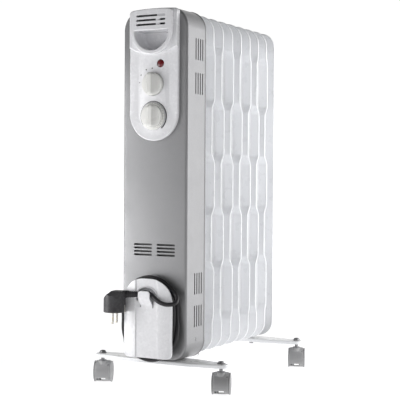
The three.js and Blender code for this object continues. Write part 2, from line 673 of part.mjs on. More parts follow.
// The hood: a fender over both wheels on a middle web, with a window low in its front.
function casterHood() {
  const { fender, fenderInner, halfHood, halfWeb, trail, wheelRadius, pin, axle } = caster;
  const wheelRoom = [-1, 1].map((side) => (side < 0
    ? axial(fenderInner, -30, -halfWeb, 18)
    : axial(fenderInner, halfWeb, 30, 18)));
  const { floor, low, rear, rearRise, windowLow, windowHigh, left, right } = hoodCut;
  const lowRoom = solid(axial(fenderInner, -halfWeb - 1, halfWeb + 1, 18))
    .intersect(solid(cuboid(-30, 30, -40, 60, -5, low)));
  const rearOpen = cuboid(-30, 30, trail + rear, 60, -5, wheelRadius + rearRise);
  const floorCut = cuboid(-30, 30, -40, 60, -10, floor);
  const windowCut = cuboid(left, right, -40, trail, windowLow, windowHigh);
  const bore = rodZ(0, 0, pin + gap, casterStemSize.low - 0.5, 60, 12);
  const body = solid(axial(fender, -halfHood, halfHood, 18));
  return surface(subtractAll(body, [
    ...wheelRoom.map(solid),
    lowRoom,
    ...[rearOpen, floorCut, windowCut, bore, axial(axle + gap, -30, 30, 12)].map(solid),
  ]));
}

// One wheel, turned about the axle. side is -1 for the left wheel and 1 for the right one.
function casterWheel(side) {
  const { halfWeb, halfHood, treadRadius, wheelRadius, axle, trail, sides } = caster;
  const inner = halfWeb + 0.4;
  const rim = halfHood + gap;
  const profile = [
    [axle + gap, inner], [treadRadius, inner], [treadRadius, rim], [wheelRadius, rim],
    [wheelRadius, rim + 2], [0, rim + 3.2], [0, rim - 0.3], [axle + gap, rim - 0.3], [axle + gap, inner],
  ];
  return new THREE.LatheGeometry(profile.map((p) => new THREE.Vector2(...p)), sides, Math.PI / sides)
    .rotateZ(-side * Math.PI / 2)
    .translate(0, trail, wheelRadius);
}

for (const { name, x, y, yaw } of casters) {
  const group = new THREE.Group();
  group.position.set(x, y, 0);
  group.rotation.z = THREE.MathUtils.degToRad(yaw);
  model.add(group);
  add(`${name}_stem`, casterStem(), 'zinc', group);
  add(`${name}_hood`, casterHood(), 'greyPlastic', group);
  add(`${name}_axle`, axial(caster.axle, -caster.halfHood + 0.4, caster.halfHood - 0.4, 10), 'zinc', group);
  add(`${name}_wheel_left`, casterWheel(-1), 'greyPlastic', group);
  add(`${name}_wheel_right`, casterWheel(1), 'greyPlastic', group);
}

// ---- Origin -----------------------------------------------------------------------------------------

// The origin is on the floor, in the heater's plane of symmetry, midway along it without its cord.
const cordPieces = ['cord_gland', 'power_cord_coil', 'power_cord_lead', 'plug_body', 'plug_pins'];
const bounds = new THREE.Box3();
model.updateMatrixWorld(true);
model.traverse((object) => {
  if (object.isMesh && !cordPieces.includes(object.name)) bounds.expandByObject(object, true);
});
const middle = bounds.getCenter(new THREE.Vector3());
model.position.set(0, -middle.y, -bounds.min.z);
model.updateMatrixWorld(true);

export default model;
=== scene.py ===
import math

import bmesh
import bpy
from mathutils import Matrix, Vector


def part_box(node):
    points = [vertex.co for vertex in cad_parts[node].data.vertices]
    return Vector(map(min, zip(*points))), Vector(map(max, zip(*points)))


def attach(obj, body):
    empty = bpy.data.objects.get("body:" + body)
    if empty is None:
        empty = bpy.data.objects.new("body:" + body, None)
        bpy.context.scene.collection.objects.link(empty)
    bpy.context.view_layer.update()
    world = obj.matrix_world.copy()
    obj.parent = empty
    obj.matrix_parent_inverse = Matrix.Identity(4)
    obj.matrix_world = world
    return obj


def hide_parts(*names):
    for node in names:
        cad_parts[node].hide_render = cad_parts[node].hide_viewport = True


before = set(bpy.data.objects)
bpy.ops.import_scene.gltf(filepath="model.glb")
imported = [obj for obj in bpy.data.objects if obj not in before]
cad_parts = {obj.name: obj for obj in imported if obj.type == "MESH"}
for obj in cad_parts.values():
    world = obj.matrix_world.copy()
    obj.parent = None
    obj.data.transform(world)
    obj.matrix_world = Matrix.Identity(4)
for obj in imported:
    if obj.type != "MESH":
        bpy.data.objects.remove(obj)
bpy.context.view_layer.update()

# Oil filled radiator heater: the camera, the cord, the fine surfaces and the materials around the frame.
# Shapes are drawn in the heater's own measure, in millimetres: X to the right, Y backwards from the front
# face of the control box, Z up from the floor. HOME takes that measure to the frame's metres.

MM = 0.001
BOX_BOTTOM = 52.6
shell_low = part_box("control_box_shell")[0]
HOME = Matrix.Translation((0, shell_low.y, shell_low.z - BOX_BOTTOM * MM)) @ Matrix.Scale(MM, 4)
WELD = 1e-4


def home(x, y, z):
    """A point of the heater's measure, in the frame's metres."""
    return HOME @ Vector((x, y, z))


# ---- Driving sizes ----
# Millimetres, and degrees for the camera and the casters.

FIN_COUNT = 9
FIN_HALF = 59.5
FIN_LOW, FIN_HIGH = 54.6, 632
FIN_CORNER = 30
FIRST_SEAM, PITCH = 60, 35.3
CHANNEL_HALF = 10
HUB_LOW, HUB_HIGH = FIN_LOW + 37, FIN_HIGH - 37
WAVE_LOW, WAVE_BAND, WAVE_BANDS, WAVE_DEPTH = 113, 92, 5, 5

BOX_HALF, BOX_TOP, BOX_DEPTH, BOX_CORNER, BOX_TOP_CORNER, BOX_ROUND = 61.5, 633.8, 62.5, 30, 34, 4
SHEET = 1.2
FASCIA_HALF, FASCIA_CENTRE, FASCIA_SIDE, FASCIA_CROWN, FASCIA_FRONT = 46.5, 461.5, 631.3, 636, -5
DOME_HALF, DOME_CENTRE, DOME_FRONT = 39, 596, -14
DOME_SIDE, DOME_CROWN, DOME_WALL = 629.4, 634.4, 2.4
POCKET_RADIUS, POCKET_TOP, POCKET_Z = 32.5, 596.5, 586
LAMP_X, LAMP_Z = 13.8, 542
POWER_Z, HEAT_Z = 508.5, 455.5
KNOB_BACK = -5.3

CORD = 7
COIL_LOW, COIL_HIGH = 105, 138.5
GLAND_X, GLAND_Y, GLAND_TOP = -33.5, -10, 126
PLUG_X, PLUG_Y, PLUG_YAW, PLUG_FACE, PLUG_TOP, CABLE_Z = -53.5, -37, math.radians(12), 132, 168, 162.5

FOOT_TOP, FOOT_LOW, STEM_X = 52, 45.5, 115
FRONT_ROW, REAR_ROW = 21.5, 329
WHEEL, TRAIL, HOOD_HALF, WEB_HALF = 18.14, 8, 12.8, 4.6
CASTERS = (
    ("caster_front_left", -STEM_X, FRONT_ROW, 24),
    ("caster_front_right", STEM_X, FRONT_ROW, 22),
    ("caster_rear_left", -STEM_X, REAR_ROW, 16),
    ("caster_rear_right", STEM_X, REAR_ROW, 20),
)
MAIN = "heater"

CAMERA_LENS, CAMERA_SENSOR, CAMERA_SHIFT = 95.98, 36, (0.0003, -0.0037)
CAMERA_PLACE = (923.2, -1543.2, 347.8)
CAMERA_TURN, CAMERA_DIP, CAMERA_ROLL = 28.494, 1.06, 0.366


# ---- Camera ----

def make_camera():
    data = bpy.data.cameras.new("camera")
    data.lens = CAMERA_LENS
    data.sensor_width = CAMERA_SENSOR
    data.shift_x, data.shift_y = CAMERA_SHIFT
    data.clip_end = 50
    camera = bpy.data.objects.new("camera", data)
    turn = Matrix.Rotation(math.radians(CAMERA_TURN), 4, "Z")
    tilt = Matrix.Rotation(math.radians(90 - CAMERA_DIP), 4, "X")
    roll = Matrix.Rotation(math.radians(CAMERA_ROLL), 4, "Z")
    camera.matrix_world = Matrix.Translation(home(*CAMERA_PLACE)) @ turn @ tilt @ roll
    bpy.context.scene.collection.objects.link(camera)
    bpy.context.scene.camera = camera


make_camera()


# ---- Curves and outlines ----

def smoothstep(low, high, value):
    t = min(1, max(0, (value - low) / (high - low)))
    return t * t * (3 - 2 * t)


def mix(a, b, t):
    return a + (b - a) * t


def quarter(steps):
    """The angles of a quarter turn, in radians, both ends included."""
    return [math.pi / 2 * i / steps for i in range(steps + 1)]


def arc(cx, cz, radius, start, end, count):
    """Points from one angle to another, in degrees, both ends included."""
    angles = [math.radians(mix(start, end, i / count)) for i in range(count + 1)]
    return [(cx + radius * math.cos(a), cz + radius * math.sin(a)) for a in angles]


def rounded_rectangle(half, low, high, low_corner, high_corner=None, count=10):
    high_corner = low_corner if high_corner is None else high_corner
    return (arc(half - low_corner, low + low_corner, low_corner, -90, 0, count)
            + arc(half - high_corner, high - high_corner, high_corner, 0, 90, count)
            + arc(high_corner - half, high - high_corner, high_corner, 90, 180, count)
            + arc(low_corner - half, low + low_corner, low_corner, 180, 270, count))


def racetrack(half, low, high, count=24):
    return arc(0, high, half, 0, 180, count) + arc(0, low, half, 180, 360, count)


def half_round(radius, centre, top, corner, count=24):
    """A round bottom under a flat top, with rounded corners between them."""
    drop = top - corner - centre
    reach = math.sqrt((radius - corner) ** 2 - drop ** 2)
    lean = math.degrees(math.atan2(drop, reach))
    return (arc(0, centre, radius, 180 - lean, 360 + lean, count)
            + arc(reach, top - corner, corner, lean, 90, 6)
            + arc(-reach, top - corner, corner, 90, 180 - lean, 6))


def shield(half, centre, side, crown, corner=3, count=28):
    """A half-round bottom under an arched top with small rounded corners."""
    top = []
    for i in range(13):
        x = mix(half - corner, corner - half, i / 12)
        top.append((x, side + (crown - side) * 0.5 * (1 - (x / half) ** 2)))
    return (arc(0, centre, half, 180, 360, count)
            + arc(half - corner, side - corner, corner, 0, 75, 4)
            + top
            + arc(corner - half, side - corner, corner, 105, 180, 4))


def inset(outline, distance):
    """The same outline, moved inwards by a distance along its normals."""
    moved = []
    count = len(outline)
    for i, (x, z) in enumerate(outline):
        before = outline[i - 1]
        after = outline[(i + 1) % count]
        first = Vector((x - before[0], z - before[1]))
        second = Vector((after[0] - x, after[1] - z))
        if first.length < WELD:
            first = second
        if second.length < WELD:
            second = first
        along = (first.normalized() + second.normalized()).normalized()
        stretch = max(0.5, abs(along.dot(first.normalized())))
        moved.append((x - along.y * distance / stretch, z + along.x * distance / stretch))
    return moved


def shrunk(outline, factor, cz):
    """The same outline, scaled about a point on its middle line."""
    return [(x * factor, cz + (z - cz) * factor) for x, z in outline]


def without_repeats(outline):
    return [p for i, p in enumerate(outline) if math.dist(p, outline[i - 1]) > 0.01]


def at_x(outline, x):
    return [(x, y, z) for y, z in outline]


def at_y(outline, y):
    return [(x, y, z) for x, z in outline]


def at_z(outline, z):
    return [(x, y, z) for x, y in outline]


# ---- Skins ----

def loft(rings, start=True, end=True):
    """Joins rings of equally many points, with a cap on each end that is asked for."""
    verts = [point for ring in rings for point in ring]
    count = len(rings[0])
    faces = []
    for k in range(len(rings) - 1):
        for i in range(count):
            j = (i + 1) % count
            faces.append((k * count + i, k * count + j, (k + 1) * count + j, (k + 1) * count + i))
    if start:
        faces.append(tuple(range(count - 1, -1, -1)))
    if end:
        faces.append(tuple((len(rings) - 1) * count + i for i in range(count)))
    return verts, faces


def slab(outline, front, back, round_front=0.0, round_back=0.0, steps=4):
    """An outline in X and Z made into a plate between two Y values, with rounded edges."""
    outline = without_repeats(outline)
    rings = []
    for a in quarter(steps)[:-1] if round_front else ():
        ring = inset(outline, round_front * (1 - math.sin(a)))
        rings.append(at_y(ring, front + round_front * (1 - math.cos(a))))
    rings.append(at_y(outline, front + round_front))
    rings.append(at_y(outline, back - round_back))
    for a in quarter(steps)[1:] if round_back else ():
        ring = inset(outline, round_back * (1 - math.cos(a)))
        rings.append(at_y(ring, back - round_back * (1 - math.sin(a))))
    return loft(rings)


def block(x0, x1, y0, y1, z0, z1):
    return loft([[(x0, y0, z), (x1, y0, z), (x1, y1, z), (x0, y1, z)] for z in (z0, z1)])


def prism(outline, low, high, at):
    """An outline drawn out straight between two levels; at is at_x, at_y or at_z."""
    return loft([at(outline, level) for level in (low, high)])


def turned(profile, sides=48, axis="Z", centre=(0, 0, 0)):
    """A closed body turned from (radius, height) pairs, whose line ends on the axis or closes on itself."""
    cx, cy, cz = centre
    rings = []
    for radius, height in profile:
        ring = []
        for i in range(sides):
            a = 2 * math.pi * i / sides
            u, v = radius * math.cos(a), radius * math.sin(a)
            ring.append({"Z": (cx + u, cy + v, cz + height), "Y": (cx + u, cy + height, cz + v),
                         "X": (cx + height, cy + u, cz + v)}[axis])
        rings.append(ring)
    return loft(rings, start=False, end=False)


def rod(radius, low, high, sides, axis="Z", centre=(0, 0, 0)):
    """A plain round bar between two heights, mostly used to cut holes."""
    return turned([(0, low), (radius, low), (radius, high), (0, high)], sides, axis, centre)


def smooth_path(points, step):
    """A centripetal Catmull-Rom curve through the points, as a dense list of them."""
    line = [Vector(p) for p in points]
    line = [2 * line[0] - line[1]] + line + [2 * line[-1] - line[-2]]
    dense = []
    for p0, p1, p2, p3 in zip(line, line[1:], line[2:], line[3:]):
        t1 = (p1 - p0).length ** 0.5
        t2 = t1 + (p2 - p1).length ** 0.5
        t3 = t2 + (p3 - p2).length ** 0.5
        pieces = max(1, round((p2 - p1).length / step))
        for i in range(pieces):
            t = mix(t1, t2, i / pieces)
            a1 = p0 * ((t1 - t) / t1) + p1 * (t / t1)
            a2 = p1 * ((t2 - t) / (t2 - t1)) + p2 * ((t - t1) / (t2 - t1))
            a3 = p2 * ((t3 - t) / (t3 - t2)) + p3 * ((t - t2) / (t3 - t2))
            b1 = a1 * ((t2 - t) / t2) + a2 * (t / t2)
            b2 = a2 * ((t3 - t) / (t3 - t1)) + a3 * ((t - t1) / (t3 - t1))
            dense.append(b1 * ((t2 - t) / (t2 - t1)) + b2 * ((t - t1) / (t2 - t1)))
    dense.append(line[-2])
    return dense


def tube(path, radius, sides=16):
    """A round tube along dense points. radius is a number or a function of the length from the start."""
    rings = []
    along = 0.0
    side = None
    for i, point in enumerate(path):
        ahead = path[min(i + 1, len(path) - 1)]
        behind = path[max(i - 1, 0)]
        tangent = (ahead - behind).normalized()
        if side is None:
            side = tangent.orthogonal().normalized()
        side = (side - tangent * side.dot(tangent)).normalized()
        up = tangent.cross(side)
        if i:
            along += (point - path[i - 1]).length
        r = radius(along) if callable(radius) else radius
        rings.append([tuple(point + side * (r * math.cos(a)) + up * (r * math.sin(a)))
                      for a in (2 * math.pi * k / sides for k in range(sides))])
    return loft(rings)


def solid(name, *parts):
    """One object of closed skins, in millimetres until it is finished."""
    whole = bmesh.new()
    for verts, faces in parts:
        part = bmesh.new()
        made = [part.verts.new(v) for v in verts]
        for face in faces:
            part.faces.new([made[i] for i in face])
        bmesh.ops.remove_doubles(part, verts=part.verts, dist=WELD)
        bmesh.ops.recalc_face_normals(part, faces=part.faces)
        mesh = bpy.data.meshes.new(name)
        part.to_mesh(mesh)
        part.free()
        whole.from_mesh(mesh)
        bpy.data.meshes.remove(mesh)
    mesh = bpy.data.meshes.new(name)
    whole.to_mesh(mesh)
    whole.free()
    made = bpy.data.objects.new(name, mesh)
    bpy.context.scene.collection.objects.link(made)
    return made


def settle(piece):
    """Applies a piece's modifiers to its mesh."""
    view = bpy.context.evaluated_depsgraph_get()
    shaped = piece.evaluated_get(view)
    mesh = bpy.data.meshes.new_from_object(shaped, preserve_all_data_layers=True, depsgraph=view)
    old = piece.data
    piece.modifiers.clear()
    piece.data = mesh
    bpy.data.meshes.remove(old)


def merged(*parts):
    """Several skins that don't touch each other, as one."""
    verts, faces = [], []
    for part_verts, part_faces in parts:
        faces += [tuple(len(verts) + i for i in face) for face in part_faces]
        verts += part_verts
    return verts, faces


def carve(piece, *parts, how="DIFFERENCE"):
    """Cuts closed skins out of a piece one after another, or joins them to it."""
    for part in parts:
        tool = solid("tool", part)
        modifier = piece.modifiers.new("carve", "BOOLEAN")
        modifier.operation = how
        modifier.solver = "EXACT"
        modifier.object = tool
        settle(piece)
        mesh = tool.data
        bpy.data.objects.remove(tool)
        bpy.data.meshes.remove(mesh)


def join_into(piece, other):
    """Moves another object's skin into a piece."""
    whole = bmesh.new()
    whole.from_mesh(piece.data)
    whole.from_mesh(other.data)
    whole.to_mesh(piece.data)
    whole.free()
    mesh = other.data
    bpy.data.objects.remove(other)
    bpy.data.meshes.remove(mesh)


def soften(piece, width, segments=2, angle=35):
    """Rounds a piece's sharp edges, by a width in millimetres."""
    modifier = piece.modifiers.new("soften", "BEVEL")
    modifier.width = width
    modifier.segments = segments
    modifier.limit_method = "ANGLE"
    modifier.angle_limit = math.radians(angle)
    settle(piece)


def finish(piece, look, body=MAIN, replaces=(), angle=38, place=HOME):
    """Takes a piece to the frame's metres, shades it, and says what it rides on and stands for."""
    mesh = piece.data
    mesh.transform(place)
    mesh.polygons.foreach_set("use_smooth", [True] * len(mesh.polygons))
    mesh.set_sharp_from_angle(angle=math.radians(angle))
    modifier = piece.modifiers.new("normals", "WEIGHTED_NORMAL")
    modifier.keep_sharp = True
    settle(piece)
    piece.data.materials.clear()
    piece.data.materials.append(look)
    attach(piece, body)
    if replaces:
        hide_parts(*replaces)
    return piece


# ---- Materials ----

class Look:
    """Builds one procedural material on a Principled shader."""

    def __init__(self, name, **shader):
        self.material = bpy.data.materials.new(name)
        self.material.use_nodes = True
        self.tree = self.material.node_tree
        self.shader = self.tree.nodes["Principled BSDF"]
        for socket, value in shader.items():
            self.shader.inputs[socket.replace("_", " ")].default_value = value
        self.place = self.node("ShaderNodeTexCoord").outputs["Object"]

    def node(self, kind, values=None, **settings):
        """A new node with its settings, and the values of its unlinked sockets."""
        made = self.tree.nodes.new(kind)
        for name, value in settings.items():
            setattr(made, name, value)
        for name, value in (values or {}).items():
            made.inputs[name].default_value = value
        return made

    def join(self, source, target):
        self.tree.links.new(source, target)

    def stretched(self, scale):
        """The object's coordinates, stretched along some axes."""
        mapping = self.node("ShaderNodeMapping", {"Scale": scale})
        self.join(self.place, mapping.inputs["Vector"])
        return mapping.outputs["Vector"]

    def noise(self, scale, detail=3.0, where=None):
        made = self.node("ShaderNodeTexNoise", {"Scale": scale, "Detail": detail})
        self.join(where or self.place, made.inputs["Vector"])
        return made.outputs["Fac"]

    def cells(self, scale, output="Distance"):
        made = self.node("ShaderNodeTexVoronoi", {"Scale": scale})
        self.join(self.place, made.inputs["Vector"])
        return made.outputs[output]

    def mapped(self, value, low, high, from_low=0.3, from_high=0.7):
        made = self.node("ShaderNodeMapRange", {"From Min": from_low, "From Max": from_high,
                                                "To Min": low, "To Max": high})
        self.join(value, made.inputs["Value"])
        return made.outputs["Result"]

    def blend(self, factor, first, second):
        """A colour between two, each a colour or another node's output."""
        made = self.node("ShaderNodeMix", data_type="RGBA")
        self.join(factor, made.inputs["Factor"])
        for name, value in (("A", first), ("B", second)):
            socket = [s for s in made.inputs if s.name == name and s.type == "RGBA"][0]
            if isinstance(value, tuple):
                socket.default_value = (*value, 1)
            else:
                self.join(value, socket)
        return [s for s in made.outputs if s.type == "RGBA"][0]

    def multiply(self, first, second):
        made = self.node("ShaderNodeMath", operation="MULTIPLY")
        self.join(first, made.inputs[0])
        self.join(second, made.inputs[1])
        return made.outputs[0]

    def upwards(self, low, high):
        """How far the surface faces up, from 0 at low to 1 at high."""
        parts = self.node("ShaderNodeSeparateXYZ")
        self.join(self.node("ShaderNodeNewGeometry").outputs["Normal"], parts.inputs["Vector"])
        return self.mapped(parts.outputs["Z"], 0, 1, low, high)

    def edges(self, low, high):
        """Worn edges: 0 on flats, 1 on sharp convex edges."""
        geometry = self.node("ShaderNodeNewGeometry")
        return self.mapped(geometry.outputs["Pointiness"], 0, 1, low, high)

    def bump(self, height, strength, distance, normal=None):
        made = self.node("ShaderNodeBump", {"Strength": strength, "Distance": distance})
        self.join(height, made.inputs["Height"])
        if normal is not None:
            self.join(normal, made.inputs["Normal"])
        return made.outputs["Normal"]

    def finished(self, colour=None, roughness=None, normal=None):
        for output, socket in ((colour, "Base Color"), (roughness, "Roughness"), (normal, "Normal")):
            if output is not None:
                self.join(output, self.shader.inputs[socket])
        return self.material


def enamel_look():
    """White stoved enamel: orange peel, a little dust on what faces up."""
    look = Look("white_enamel", Coat_Weight=0.35, Coat_Roughness=0.08)
    tone = look.blend(look.noise(9), (0.80, 0.81, 0.83), (0.86, 0.865, 0.88))
    dust = look.multiply(look.upwards(0.6, 1.0), look.noise(140, 4))
    colour = look.blend(dust, tone, (0.74, 0.735, 0.72))
    roughness = look.mapped(look.noise(60, 4), 0.24, 0.38)
    peel = look.bump(look.noise(420, 2), 0.12, 0.0004)
    return look.finished(colour, roughness, look.bump(look.noise(3200, 2), 0.05, 0.0001, peel))


def silver_look():
    """Silver lacquer: metal flake under a clear coat, with faint orange peel."""
    look = Look("silver_lacquer", Metallic=0.62, Coat_Weight=0.25, Coat_Roughness=0.22)
    flake = look.mapped(look.cells(5200, "Color"), 0, 1, 0.1, 0.9)
    tone = look.blend(flake, (0.21, 0.21, 0.216), (0.275, 0.275, 0.283))
    cloud = look.noise(14, 3)
    colour = look.blend(cloud, tone, look.blend(flake, (0.225, 0.225, 0.23), (0.29, 0.29, 0.297)))
    roughness = look.mapped(look.noise(45, 4), 0.38, 0.48)
    peel = look.bump(look.noise(500, 2), 0.10, 0.0003)
    return look.finished(colour, roughness, look.bump(look.cells(5200), 0.06, 0.0001, peel))


def plastic_look(name, dark, light, roughness, grain, strength, **shader):
    """Moulded plastic: a fine spark-eroded grain, uneven gloss and rubbed edges."""
    look = Look(name, **shader)
    rubbed = look.multiply(look.edges(0.52, 0.60), look.noise(220, 4))
    tone = look.blend(look.noise(24, 3), dark, light)
    colour = look.blend(rubbed, tone, tuple(min(1, 0.06 + 1.12 * c) for c in light))
    gloss = look.mapped(look.noise(90, 4), roughness - 0.05, roughness + 0.07)
    flow = look.bump(look.noise(60, 2), 0.04, 0.0006)
    return look.finished(colour, gloss, look.bump(look.noise(grain, 3), strength, 0.0001, flow))


def zinc_look(name="zinc_plate", dark=(0.36, 0.37, 0.38), light=(0.58, 0.58, 0.59)):
    """Zinc plated steel: drawn streaks, cloudy tone and duller spots."""
    look = Look(name, Metallic=0.9)
    streaks = look.noise(500, 3, where=look.stretched((1, 1, 0.08)))
    tone = look.blend(look.noise(70, 4), dark, light)
    colour = look.blend(look.mapped(streaks, 0, 0.6), tone, tuple(0.8 * c for c in dark))
    roughness = look.mapped(look.noise(160, 5), 0.28, 0.52)
    return look.finished(colour, roughness, look.bump(streaks, 0.12, 0.0001))


def brass_look():
    """Nickel plated brass pins, with fine turning marks and brass showing at rubbed spots."""
    look = Look("nickel_brass", Metallic=1.0)
    rings = look.noise(900, 2, where=look.stretched((0.05, 0.05, 1)))
    rubbed = look.mapped(look.noise(350, 4), 0, 1, 0.5, 0.75)
    colour = look.blend(rubbed, (0.58, 0.57, 0.55), (0.62, 0.51, 0.30))
    return look.finished(colour, look.mapped(rings, 0.22, 0.4), look.bump(rings, 0.1, 0.0001))


def lens_look():
    """Deep red moulded lens with prisms on its inside."""
    look = Look("red_lens", Roughness=0.2, Coat_Weight=0.2, Coat_Roughness=0.1,
                Subsurface_Weight=0.2, Subsurface_Scale=0.003)
    prisms = look.cells(900)
    colour = look.blend(look.mapped(prisms, 0, 1, 0.1, 0.6), (0.27, 0.003, 0.010), (0.08, 0.001, 0.003))
    return look.finished(colour, look.mapped(look.noise(300), 0.1, 0.2), look.bump(prisms, 0.25, 0.0003))


def print_look():
    """Dark grey pad printing on the white plastic."""
    look = Look("printed_grey")
    colour = look.blend(look.noise(800, 4), (0.035, 0.035, 0.04), (0.075, 0.075, 0.08))
    roughness = look.mapped(look.noise(200), 0.35, 0.55)
    return look.finished(colour, roughness, look.bump(look.noise(2500), 0.1, 0.0001))


ENAMEL = enamel_look()
SILVER = silver_look()
ZINC = zinc_look()
STEEL = zinc_look("stem_steel", (0.20, 0.20, 0.205), (0.40, 0.40, 0.41))
ELEMENT = zinc_look("element_sheath", (0.20, 0.13, 0.09), (0.42, 0.28, 0.2))
WHITE = plastic_look("white_plastic", (0.655, 0.655, 0.677), (0.68, 0.68, 0.70), 0.24, 2600, 0.05,
                     Coat_Weight=0.3, Coat_Roughness=0.1)
CREAM = plastic_look("knob_plastic", (0.655, 0.655, 0.637), (0.69, 0.69, 0.668), 0.3, 3000, 0.07)
# Near-black plastic for the parts inside the box; the same material paints the shade on the black sheets
# behind the vents and behind the handle's slots.
INNER_AND_SHADE = plastic_look("inner_plastic", (0.012, 0.012, 0.013), (0.03, 0.03, 0.032), 0.5, 1800, 0.2)
PLUG = plastic_look("plug_plastic", (0.009, 0.008, 0.010), (0.017, 0.016, 0.019), 0.42, 2400, 0.16,
                    Specular_IOR_Level=0.3)
RUBBER = plastic_look("cord_sheath", (0.009, 0.008, 0.010), (0.017, 0.016, 0.018), 0.42, 1500, 0.12,
                      Specular_IOR_Level=0.35)
GREY = plastic_look("caster_plastic", (0.27, 0.27, 0.275), (0.34, 0.34, 0.345), 0.4, 1800, 0.16)
LENS = lens_look()
PINS = brass_look()
PRINT = print_look()


# ---- Cord ----

FRONT_TURNS, BACK_TURNS = (44.5, 51.5), (40.3, 47.3)
FRONT_LAYER, BACK_LAYER = -12, -4.5
ROUND_SHARE = 0.409
STRAIGHT_SHARE = 0.5 - ROUND_SHARE
STARTS_AT, LEAVES_AT = 0.11, 3.295
TURN_STEPS = 20


def turn_point(turns):
    """Where the cord lies after so many turns, clockwise from the left end of the top bend."""
    back = smoothstep(0.75, 0.88, turns) - smoothstep(2.42, 2.55, turns)
    outer = smoothstep(1.62, 1.75, turns)
    half = mix(mix(*FRONT_TURNS, outer), mix(*BACK_TURNS, outer), back)
    layer = mix(FRONT_LAYER, BACK_LAYER, back)
    share = turns % 1
    lower = share >= 0.5
    share -= 0.5 if lower else 0
    if share < ROUND_SHARE:
        angle = math.pi * (1 - share / ROUND_SHARE)
        x, z = half * math.cos(angle), COIL_HIGH + half * math.sin(angle)
    else:
        x, z = half, mix(COIL_HIGH, COIL_LOW, (share - ROUND_SHARE) / STRAIGHT_SHARE)
    if lower:
        x, z = -x, COIL_LOW + COIL_HIGH - z
    return x, layer, z


def make_cord():
    """Up out of the gland, a little over three turns in two layers, then forward to the plug."""
    start = [(GLAND_X, GLAND_Y, GLAND_TOP), (GLAND_X, GLAND_Y, 135),
             (-34.6, -10.8, 145), (-35.2, -11.8, 155)]
    count = round((LEAVES_AT - STARTS_AT) * TURN_STEPS)
    turns = [turn_point(mix(STARTS_AT, LEAVES_AT, i / count)) for i in range(count + 1)]
    lead = [
        (41, -12.2, 171.5), (48.5, -13.4, 165), (53.6, -16.6, 159),
        (55.3, -20.9, 154.3), (54.6, -24.6, 151.8), (51.2, -27.4, 149.9), (45, -29.7, 149.1),
        (37, -30.6, 149.6), (29, -30.3, 152), (21, -29, 156.2), (14, -27.2, 160.6), (8, -25.9, 163.8),
        (2, -25.2, 166), (-4, -25.4, 166), (-8.9, -26.8, 163.9), (-13.25, -28.44, 162.5),
    ]
    path = smooth_path(start + turns + lead, 2.5)
    cord = solid("power_cord", tube(path, CORD / 2, 20))
    finish(cord, RUBBER, replaces=("power_cord_coil", "power_cord_lead"))


def make_gland():
    profile = [(0, 100), (5.2, 100), (5.2, 106), (4.7, 107)]
    for i in range(3):
        z = 108 + 5 * i
        profile += [(4.9 - 0.2 * i, z), (4.9 - 0.2 * i, z + 3), (4.2, z + 3.4), (4.2, z + 4.6)]
    profile += [(4.1, 124), (4.0, GLAND_TOP - 0.3), (0, GLAND_TOP - 0.3)]
    gland = solid("cord_sleeve", turned(profile, 32, centre=(GLAND_X, GLAND_Y, 0)))
    finish(gland, PLUG, replaces=("cord_gland",))


# The plug's own measure: its middle is the origin, the cable leaves along X and the pins point down.
PLUG_PLACE = HOME @ Matrix.Translation((PLUG_X, PLUG_Y, 0)) @ Matrix.Rotation(PLUG_YAW, 4, "Z")
PLUG_RADIUS = 18.3
PIN_LENGTH, PIN_SPACING = 19, 19
BOOT_START, BOOT_END = 19, 40


def make_plug():
    """A round base under a hipped block that narrows into the ribbed boot."""
    shell = solid("plug_shell", turned([(0, PLUG_FACE), (17.7, PLUG_FACE), (PLUG_RADIUS, PLUG_FACE + 0.8),
                                        (PLUG_RADIUS, PLUG_TOP), (0, PLUG_TOP)], 64))
    roof = [(-30, 130), (30, 130), (30, 150), (9.6, PLUG_TOP - 0.2), (-9.6, PLUG_TOP - 0.2), (-30, 150)]
    carve(shell, prism(roof, -30, 30, at_x), how="INTERSECT")
    slope = [(-26, 146.5), (-1, PLUG_TOP + 0.8), (-26, PLUG_TOP + 6)]
    carve(shell, prism(slope, -30, 30, at_y))
    corners = ((-1, -0.7), (-0.7, -1), (0.7, -1), (1, -0.7), (1, 0.7), (0.7, 1), (-0.7, 1), (-1, 0.7))
    shoulder = [[(x, half * u, CABLE_Z - 0.8 + tall * v) for u, v in corners]
                for x, half, tall in ((6, 9.2, 6), (16, 8.2, 6), (BOOT_START + 1, 6.4, 5.7))]
    carve(shell, loft(shoulder), how="UNION")
    carve(shell, rod(14.6, PLUG_FACE - 1, PLUG_FACE + 4, 48),
          *[block(near, near + 3.6, -2.7, 2.7, PLUG_FACE - 1, PLUG_FACE + 13) for near in (-20, 16.4)])
    soften(shell, 0.8, 3)
    profile = [(0, BOOT_START - 2), (5.6, BOOT_START - 2), (5.7, BOOT_START + 1)]
    ribs = 6
    pitch = (BOOT_END - BOOT_START - 2) / ribs
    for i in range(ribs):
        x = BOOT_START + 1.4 + i * pitch
        wide = mix(6.0, 4.7, i / (ribs - 1))
        profile += [(wide - 0.3, x), (wide, x + 0.4), (wide, x + 1.6), (wide - 0.3, x + 2),
                    (wide - 1.1, x + 2.1), (wide - 1.1, x + pitch - 0.1)]
    profile += [(4.1, BOOT_END - 0.6), (3.7, BOOT_END), (0, BOOT_END)]
    join_into(shell, solid("plug_boot", turned(profile, 40, "X", (0, 0, CABLE_Z))))
    finish(shell, PLUG, replaces=("plug_body",), place=PLUG_PLACE)


